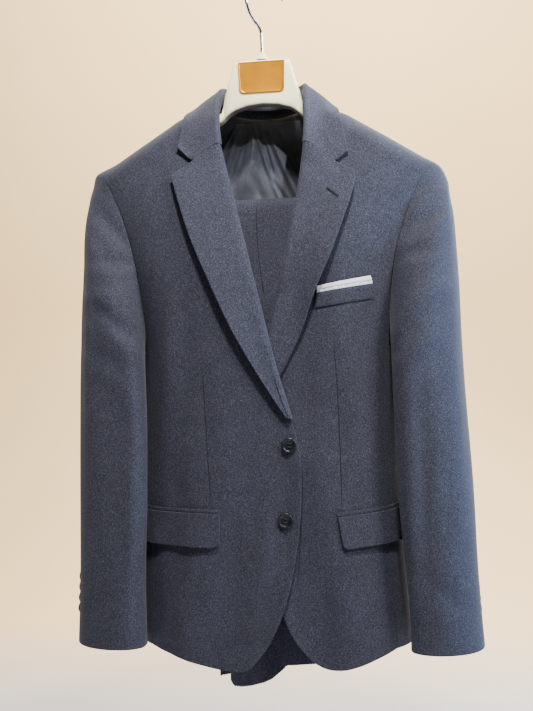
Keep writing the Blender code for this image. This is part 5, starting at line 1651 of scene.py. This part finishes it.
def makeLining():
    form = liningForm
    columns = form["columns"]
    grid = np.zeros((len(form["rows"]), len(columns), 3))
    for i, v in enumerate(form["rows"]):
        z = form["high"] - form["tall"] * v
        x = float(np.interp(v, *form["half"])) * columns
        y = backY(x, np.full_like(x, z)) - form["gap"]
        fan = form["fan"] * np.sin(7.5 * columns + 0.4) * (1 - ease(v, 0.45, 0.9)) * ease(v, 0.0, 0.10)
        y = y - form["forward"] * (1 - ease(v, 0.5, 0.9)) * ease(v, 0, 0.1)
        y = y - form["forwardTop"] * (1 - ease(v, 0, 0.12))
        grid[i] = np.stack([x, y + fan, np.full_like(x, z)], axis=1)
    cut = grid.copy()
    flat = grid[..., (0, 2)]
    depth = creaseDepth(flat, fromPhoto(form["marks"]))
    grid[..., 1] += form["share"] * np.clip(depth, *form["deepest"]) + creaseDepth(flat, form["falls"])
    grid[..., 1] = np.minimum(grid[..., 1], backY(grid[..., 0], grid[..., 2]) - form["least"])
    sewn("back_lining", "lining", grid, turnedTo(grid, towardsFront), cut)
    print("lining made")


# trousers, pressed flat and folded over the bar

trouserForm = {
    "barRadius": 0.006, "barZ": -0.3195, "between": 0.0008, "thick": 0.006, "wall": 0.0011, "across": 118,
    "toothDeep": 0.0013, "endTall": 0.108, "step": 0.012, "seed": 70, "swell": 0.0006, "swellSize": 0.14,
    "legs": {
        # place of its foot and tail as y, z; its pressed edges as x, the way they move and over what share
        "trouser_leg_outer": {"layer": 1, "foot": (-0.0330, -0.9730), "tail": (0.0220, -0.5200),
                              "left": (-0.0610, -0.0480, 0.55), "right": (0.1370, -0.0260, 0.55)},
        "trouser_leg_inner": {"layer": 2, "foot": (-0.0255, -0.9570), "tail": (0.0145, -0.5200),
                              "left": (-0.0770, -0.0300, 0.5), "right": (0.1250, -0.0160, 0.5)},
    },
    "legEnd": np.array([
        # x, rise of the outer leg's raw edge, rise of the inner leg's
        [-0.150, 0.016, 0.000],
        [-0.077, 0.016, 0.000],
        [-0.061, 0.014, 0.003],
        [-0.056, 0.005, 0.010],
        [-0.045, 0.004, 0.022],
        [-0.031, 0.006, 0.032],
        [-0.015, 0.010, 0.036],
        [-0.003, 0.016, 0.038],
        [0.009, 0.026, 0.040],
        [0.017, 0.034, 0.043],
        [0.056, 0.037, 0.046],
        [0.074, 0.052, 0.058],
        [0.150, 0.056, 0.062],
    ]),
    # level, left, right, half depth
    "seat": ((-0.5206, -0.112, 0.112, 0.0062), (-0.560, -0.122, 0.122, 0.0080),
             (-0.610, -0.126, 0.126, 0.0090), (-0.6594, -0.120, 0.120, 0.0085)),
    "band": ((-0.6600, -0.1205, 0.1205, 0.0092), (-0.6800, -0.1205, 0.1205, 0.0092),
             (-0.6990, -0.1205, 0.1205, 0.0092)),
    "bandY": 0.0185, "bandWall": 0.0016, "bandAcross": 40,
    # x, y, x, y on the photo, how far back, width, depth: seam, pleat and soft falls of the leg that shows
    "marks": [
        (255.5, 197, 256, 212, -0.020, 0.0012, 0.0010),
        (256, 212, 258, 250, -0.020, 0.0012, 0.0011),
        (258, 250, 265, 300, -0.020, 0.0012, 0.0010),
        (250, 200, 252, 290, -0.020, 0.0060, -0.0012),
        (272, 200, 276, 300, -0.020, 0.0100, 0.0014),
        (284, 630, 284, 668, -0.030, 0.0035, -0.0030),
        (268, 640, 262, 680, -0.030, 0.0060, 0.0016),
    ],
}


def legPath(reach, foot, tail):
    # middle line of a folded leg: up the front, over the bar and down behind it
    y, z = jacketForm["ridgeY"], trouserForm["barZ"]
    turns = np.radians([22, 45, 67, 90, 113, 135, 158])
    rise = [(foot[0] + (y - reach - foot[0]) * t, foot[1] + (z - foot[1]) * t) for t in np.linspace(0, 1, 7)]
    over = [(y - reach * math.cos(t), z + reach * math.sin(t)) for t in turns]
    fall = [(y + reach + (tail[0] - y - reach) * t, z + (tail[1] - z) * t) for t in np.linspace(0, 1, 4)]
    return np.array(rise + over + fall)


def edgeAt(edge, share):
    start, moved, over = edge
    return float(start + moved * ease(share, 0.0, over))


def pressedTube(name, look, reach, marks):
    # a leg pressed flat, open at the foot, with its raw edge cut in teeth
    form, foot = trouserForm, trouserForm["legEnd"][:, (0, look["layer"])]
    path = legPath(reach, look["foot"], look["tail"])
    knots = lengthsAlong(path)
    places = np.array(sorted(set([0.0026, 0.0055] + spaced(knots, form["step"]))))
    line = throughKnots(knots, path, places)
    ahead = unit(np.gradient(line, axis=0))
    steps = places / places[-1]
    count = form["across"]

    def ringAt(i, thin):
        normal = np.array([-ahead[i][1], ahead[i][0]])
        low, high = edgeAt(look["left"], steps[i]) + thin, edgeAt(look["right"], steps[i]) - thin
        deep = form["thick"] / 2 - thin
        spread = np.linspace(low + deep, high - deep, count)
        turn = np.radians([68, 45, 22, 0, -22, -45, -68])
        flat = np.vstack([
            np.column_stack([spread, np.full(count, deep)]),
            np.column_stack([high - deep + deep * np.cos(turn), deep * np.sin(turn)]),
            np.column_stack([spread[::-1], np.full(count, -deep)]),
            np.column_stack([low + deep - deep * np.cos(turn), -deep * np.sin(turn)]),
        ])
        x, off = flat[:, 0], flat[:, 1]
        share = np.clip(1 - places[i] / form["endTall"], 0, 1)
        drop = np.interp(x, foot[:, 0], foot[:, 1]) * share
        if i == 0:
            teeth, none = np.arange(count) % 2, np.zeros(len(turn))
            drop = drop + np.r_[teeth, none, teeth[::-1], none] * form["toothDeep"]
        return np.column_stack([x, line[i][0] + normal[0] * off, line[i][1] + normal[1] * off + drop])

    outer = np.array([ringAt(i, 0.0) for i in range(len(places))])
    inner = np.array([ringAt(i, form["wall"]) for i in range(len(places))])
    flat, seed = outer[..., (0, 2)], form["seed"] + look["layer"]
    press = creaseDepth(flat, marks) + unevenness(flat, seed, form["swellSize"], form["swell"])
    # only the front of the front layer moves, and only where nothing lies against it
    press *= ease(places[-1] * 0.5 - places, 0.0, 0.08)[:, None]
    for skin in (outer, inner):
        front = skin[..., 1] < line[:, :1]
        skin[..., 1] += press * front * 0.8
    rings = np.concatenate([outer, inner[::-1]], axis=0)
    return ringSkin(name, rings, [clothTrousers], closed=True, sharp=70), outer


def bandTube(name, levels):
    # a hollow flat band of the trousers' upper part
    form, count = trouserForm, trouserForm["bandAcross"]
    levels = np.array(levels)
    knots = -levels[:, 0]
    fine = np.linspace(knots[0], knots[-1], 12)
    table = throughKnots(knots, levels[:, 1:], fine)
    turn = np.radians([60, 30, 0, -30, -60])
    skins = []
    for sunk in (0.0, form["bandWall"]):
        skin = []
        for z, (low, high, deep) in zip(-fine, table):
            low, high, deep = low + sunk, high - sunk, deep - sunk
            spread = np.linspace(low + deep, high - deep, count)
            ring = np.vstack([
                np.column_stack([spread, np.full(count, form["bandY"] + deep)]),
                np.column_stack([high - deep + deep * np.cos(turn), form["bandY"] + deep * np.sin(turn)]),
                np.column_stack([spread[::-1], np.full(count, form["bandY"] - deep)]),
                np.column_stack([low + deep - deep * np.cos(turn), form["bandY"] - deep * np.sin(turn)]),
            ])
            skin.append(np.column_stack([ring, np.full(len(ring), z)]))
        skins.append(np.array(skin))
    rings = np.concatenate([skins[0], skins[1][::-1]], axis=0)
    return ringSkin(name, rings, [clothTrousers], closed=True, sharp=60), skins[0]


def keepTube(piece, name, skin):
    # a tube's cut goes all round it
    keep(piece, name)
    cutSize(np.concatenate([skin, skin[:, :1]], axis=1))


def makeTrousers():
    form = trouserForm
    inner = form["barRadius"] + form["between"] + form["thick"] / 2
    reach = {1: inner + form["thick"] + form["between"], 2: inner}
    for name, look in form["legs"].items():
        marks = fromPhoto(form["marks"]) if look["layer"] == 1 else []
        piece, skin = pressedTube(name, look, reach[look["layer"]], marks)
        keepTube(piece, name, skin)
    for name, levels in (("trouser_seat", form["seat"]), ("trouser_waistband", form["band"])):
        piece, skin = bandTube(name, levels)
        keepTube(piece, name, skin)
    print("trousers made")


# hanger

hangerForm = {
    "rings": np.array([
        # x,     top,     under,   half depth
        [0.000, -0.1085, -0.1715, 0.0115],
        [0.022, -0.1085, -0.1735, 0.0115],
        [0.038, -0.1095, -0.1785, 0.0115],
        [0.0440, -0.1300, -0.1815, 0.0120],
        [0.0480, -0.1430, -0.1845, 0.0115],
        [0.0520, -0.1540, -0.1875, 0.0100],
        [0.0545, -0.1660, -0.1900, 0.0085],
        [0.0580, -0.1785, -0.1940, 0.0100],
        [0.0800, -0.1825, -0.2060, 0.0165],
        [0.1050, -0.1870, -0.2170, 0.0185],
        [0.1400, -0.2058, -0.2390, 0.0205],
        [0.1800, -0.2310, -0.2630, 0.0215],
        [0.2100, -0.2499, -0.2760, 0.0200],
        [0.2180, -0.2570, -0.2740, 0.0110],
    ]),
    # a ring is boxy in the middle and oval from the wing's start outwards
    "wingStart": 0.0545, "boxy": 0.35, "oval": 0.57, "ringFit": 0.985, "ringPoints": 40, "forward": 0.005,
    "plate": {"halfWide": 0.0324, "top": -0.1125, "bottom": -0.1560, "corner": 0.0065, "y": -0.0118,
              # distance forward and share of the outline: a slab with a raised rim
              "section": ((0.0, 1.0), (0.0010, 1.0), (0.0015, 0.985), (0.0015, 0.955), (0.0011, 0.935),
                          (0.0010, 0.90))},
    # height and radius from the ferrule's foot
    "ferrule": [(0.0, 0.0092), (0.0012, 0.0093), (0.0030, 0.0088), (0.0050, 0.0070), (0.0075, 0.0052),
                (0.0098, 0.0046), (0.0105, 0.0040)],
    "ferruleZ": -0.1082, "hookWire": 0.0042, "hookLoop": 0.0255, "hookX": 0.0055, "hookTurns": (196, -8),
    "hookStem": [(0.0, -0.0974), (0.0, -0.0900), (0.0, -0.0800), (-0.0005, -0.0700), (-0.0040, -0.0600),
                 (-0.0105, -0.0500), (-0.0160, -0.0400)],
}


def makeHangerBody():
    form, table, count = hangerForm, hangerForm["rings"], hangerForm["ringPoints"]
    half = []
    for low, high in zip(table[:-1], table[1:]):
        steps = max(1, int(round((high[0] - low[0]) / 0.006)))
        half += [low + (high - low) * k / steps for k in range(steps)]
    half = np.array(half + [table[-1]])
    both = np.vstack([half[::-1] * np.array([-1, 1, 1, 1]), half[1:]])
    turns = 2 * math.pi * (np.arange(count) + 0.5) / count
    c, s = np.cos(turns), np.sin(turns)
    rings = []
    for x, top, under, deep in both:
        middle, tall = 0.5 * (top + under), 0.5 * (top - under)
        power = form["boxy"] + form["oval"] * min(1.0, max(0.0, (abs(x) - form["wingStart"]) / 0.0035))
        forward = -form["forward"] * max(0.0, (abs(x) - 0.12) / 0.10) ** 2
        centre = jacketForm["ridgeY"] * float(ease(abs(x), 0.060, 0.100)) + forward
        y = centre + deep * form["ringFit"] * np.sign(c) * np.abs(c) ** power
        z = middle + tall * form["ringFit"] * np.sign(s) * np.abs(s) ** power
        rings.append(np.column_stack([np.full(count, x), y, z]))
    keep(ringSkin("hanger_body", rings, [plasticCream], sharp=38), "hanger_body")


def makePlate():
    # a thin slab with rounded lower corners and a raised rim
    form = hangerForm["plate"]
    corner, wide = form["corner"], form["halfWide"]
    outline = [(-wide, form["top"]), (wide, form["top"])]
    for x, turns in ((wide - corner - 0.001, (0, -90)), (-wide + corner + 0.001, (-90, -180))):
        outline += [(x + corner * math.cos(t), form["bottom"] + corner + corner * math.sin(t))
                    for t in np.radians(np.linspace(*turns, 9))]
    outline = np.array(outline)
    middle = np.array([0.0, 0.5 * (form["top"] + form["bottom"])])
    rings = []
    for ahead, share in form["section"]:
        spot = middle + (outline - middle) * (np.array([share, 1 - (1 - share) * 1.35]))
        rings.append(np.column_stack([spot[:, 0], np.full(len(spot), form["y"] - ahead), spot[:, 1]]))
    keep(ringSkin("hanger_plate", rings, [giltPlate], sharp=25), "hanger_plate")


def makeHook():
    wire, loop = hangerForm["hookWire"], hangerForm["hookLoop"]
    x0, z0 = hangerForm["hookX"], -loop + wire / 2
    turns = np.radians(np.linspace(*hangerForm["hookTurns"], 19))
    ring = [(x0 + loop * math.cos(t), z0 + loop * math.sin(t)) for t in turns]
    path = np.array([(x, 0.0, z) for x, z in hangerForm["hookStem"] + ring])
    knots = lengthsAlong(path)
    fine = throughKnots(knots, path, np.linspace(0, knots[-1], 120))
    keep(roundBar("hanger_hook", fine, wire / 2, 24, [chromeWire]), "hanger_hook")


def makeHanger():
    makeHangerBody()
    makePlate()
    foot = (0, 0, hangerForm["ferruleZ"])
    ferrule = turnedProfile("hanger_ferrule", hangerForm["ferrule"], foot, (0, 0, 1), 48, [plasticCream])
    keep(ferrule, "hanger_ferrule")
    makeHook()
    # the bar's own solid has the right shape
    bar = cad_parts["hanger_bar"]
    bar.material_slots[0].material = plasticCream
    print("hanger made")


makeBody()
makeSleeves()
makeLapels()
makePockets()
makeButtons()
makeButtonhole()
makeLining()
makeTrousers()
makeSeamLines()
makeHanger()


# floor, light and camera

setting = {
    "floorZ": -1.30, "wallY": 2.4, "wall": (0.930, 0.640, 0.305), "floor": (0.430, 0.430, 0.440),
    "air": (0.88, 0.90, 1.0), "airStrength": 0.05,
    # place, aim, width and height, watts, colour
    "lamps": {
        "topLamp": ((0.22, -0.84, 0.80), (0.0, -0.05, -0.45), (0.20, 0.12), 48.0, (0.95, 0.97, 1.0)),
        "frontLamp": ((1.75, -1.15, 0.75), (0.0, 0.0, -0.60), (0.7, 0.5), 64.0, (0.92, 0.95, 1.0)),
        "coolLamp": ((1.30, -0.10, -0.40), (0.20, 0.0, -0.55), (0.3, 0.9), 33.0, (0.36, 0.59, 1.0)),
        "sideLamp": ((-1.60, -0.05, -0.10), (-0.2, 0.0, -0.60), (0.8, 0.8), 10.0, (0.84, 0.91, 1.0)),
        "backLamp": ((0.75, 1.55, 0.40), (0.0, 0.0, -0.55), (0.9, 0.7), 80.0, (0.50, 0.72, 1.0)),
        "wallLamp": ((0.0, 0.90, 1.60), (0.0, 2.3, -0.40), (3.0, 0.8), 190.0, (1.0, 0.96, 0.90)),
    },
    # narrow beams into the neck opening, on the trousers and on the hanger: place, aim, cone, watts, colour
    "beams": {
        "neckBeam": ((0.60, -1.38, 0.73), (-0.020, 0.050, -0.262), 4.4, 225.0, (0.82, 0.87, 1.0)),
        "chestBeam": ((0.24, -1.45, 0.55), (0.006, -0.020, -0.395), 4.2, 60.0, (0.93, 0.95, 1.0)),
        "hangerBeam": ((-0.85, -1.40, -0.20), (0.0, -0.010, -0.118), 3.7, 85.0, (1.0, 0.93, 0.80)),
    },
}


def makeBackdrop():
    # a pale floor that sweeps up into a wall far behind
    foot = setting["wallY"] - 1.0
    sweep = np.radians(np.linspace(6, 90, 15))
    profile = [(-6.0, 0.0), (0.0, 0.0), (foot, 0.0)]
    profile += [(foot + math.sin(t), 1.0 - math.cos(t)) for t in sweep]
    profile += [(setting["wallY"], 5.0)]
    points = []
    for y, rise in profile:
        points += [(-7.0, y, setting["floorZ"] + rise), (7.0, y, setting["floorZ"] + rise)]
    faces = [(2 * k, 2 * k + 1, 2 * k + 3, 2 * k + 2) for k in range(len(profile) - 1)]
    made, tree, shader = newMaterial("paleFloor", 0.75)
    mottle = addRange(tree, addNoise(tree, placeNode(tree), 3.0, 5.0), 0.0, 1.0, 0.0, 0.10)
    depth = addNode(tree, "ShaderNodeSeparateXYZ", {0: placeNode(tree)})
    behind = addRange(tree, depth.outputs["Y"], 0.4, 1.6, interpolation_type="SMOOTHSTEP")
    base = blendColour(tree, behind, setting["floor"], setting["wall"])
    soft = addMath(tree, "SUBTRACT", 1.0, mottle)
    shaded = addNode(tree, "ShaderNodeVectorMath", {0: base, 1: soft}, operation="MULTIPLY")
    tree.links.new(shaded.outputs[0], shader.inputs["Base Color"])
    floor = meshFrom("floor", points, faces, [made], 80)


def addLamp(name, kind, spot, aim, watts, colour):
    data = bpy.data.lights.new(name, kind)
    data.energy, data.color = watts, colour
    lamp = bpy.data.objects.new(name, data)
    lamp.location = spot
    lamp.rotation_euler = (Vector(aim) - Vector(spot)).to_track_quat("-Z", "Y").to_euler()
    bpy.context.scene.collection.objects.link(lamp)
    return data


def makeLight():
    world = bpy.data.worlds.new("air")
    bpy.context.scene.world = world
    world.use_nodes = True
    back = world.node_tree.nodes["Background"]
    back.inputs["Color"].default_value = (*setting["air"], 1)
    back.inputs["Strength"].default_value = setting["airStrength"]
    for name, (spot, aim, size, watts, colour) in setting["lamps"].items():
        data = addLamp(name, "AREA", spot, aim, watts, colour)
        data.shape, data.size, data.size_y = "RECTANGLE", *size
    for name, (spot, aim, cone, watts, colour) in setting["beams"].items():
        data = addLamp(name, "SPOT", spot, aim, watts, colour)
        data.spot_size, data.spot_blend, data.shadow_soft_size = math.radians(cone), 0.8, 0.02


def makeCamera():
    look = photo
    data = bpy.data.cameras.new("camera")
    data.lens, data.sensor_width, data.clip_start, data.clip_end = look["lens"], look["sensor"], 0.05, 30.0
    camera = bpy.data.objects.new("camera", data)
    bpy.context.scene.collection.objects.link(camera)
    turn, roll = math.radians(look["turn"]), math.radians(look["roll"])
    camera.matrix_world = (Matrix.Translation(look["spot"]) @ Matrix.Rotation(turn, 4, "Z")
                           @ Matrix.Rotation(math.radians(90), 4, "X") @ Matrix.Rotation(roll, 4, "Z"))
    bpy.context.scene.camera = camera


makeBackdrop()
makeLight()
makeCamera()
print("stage set")
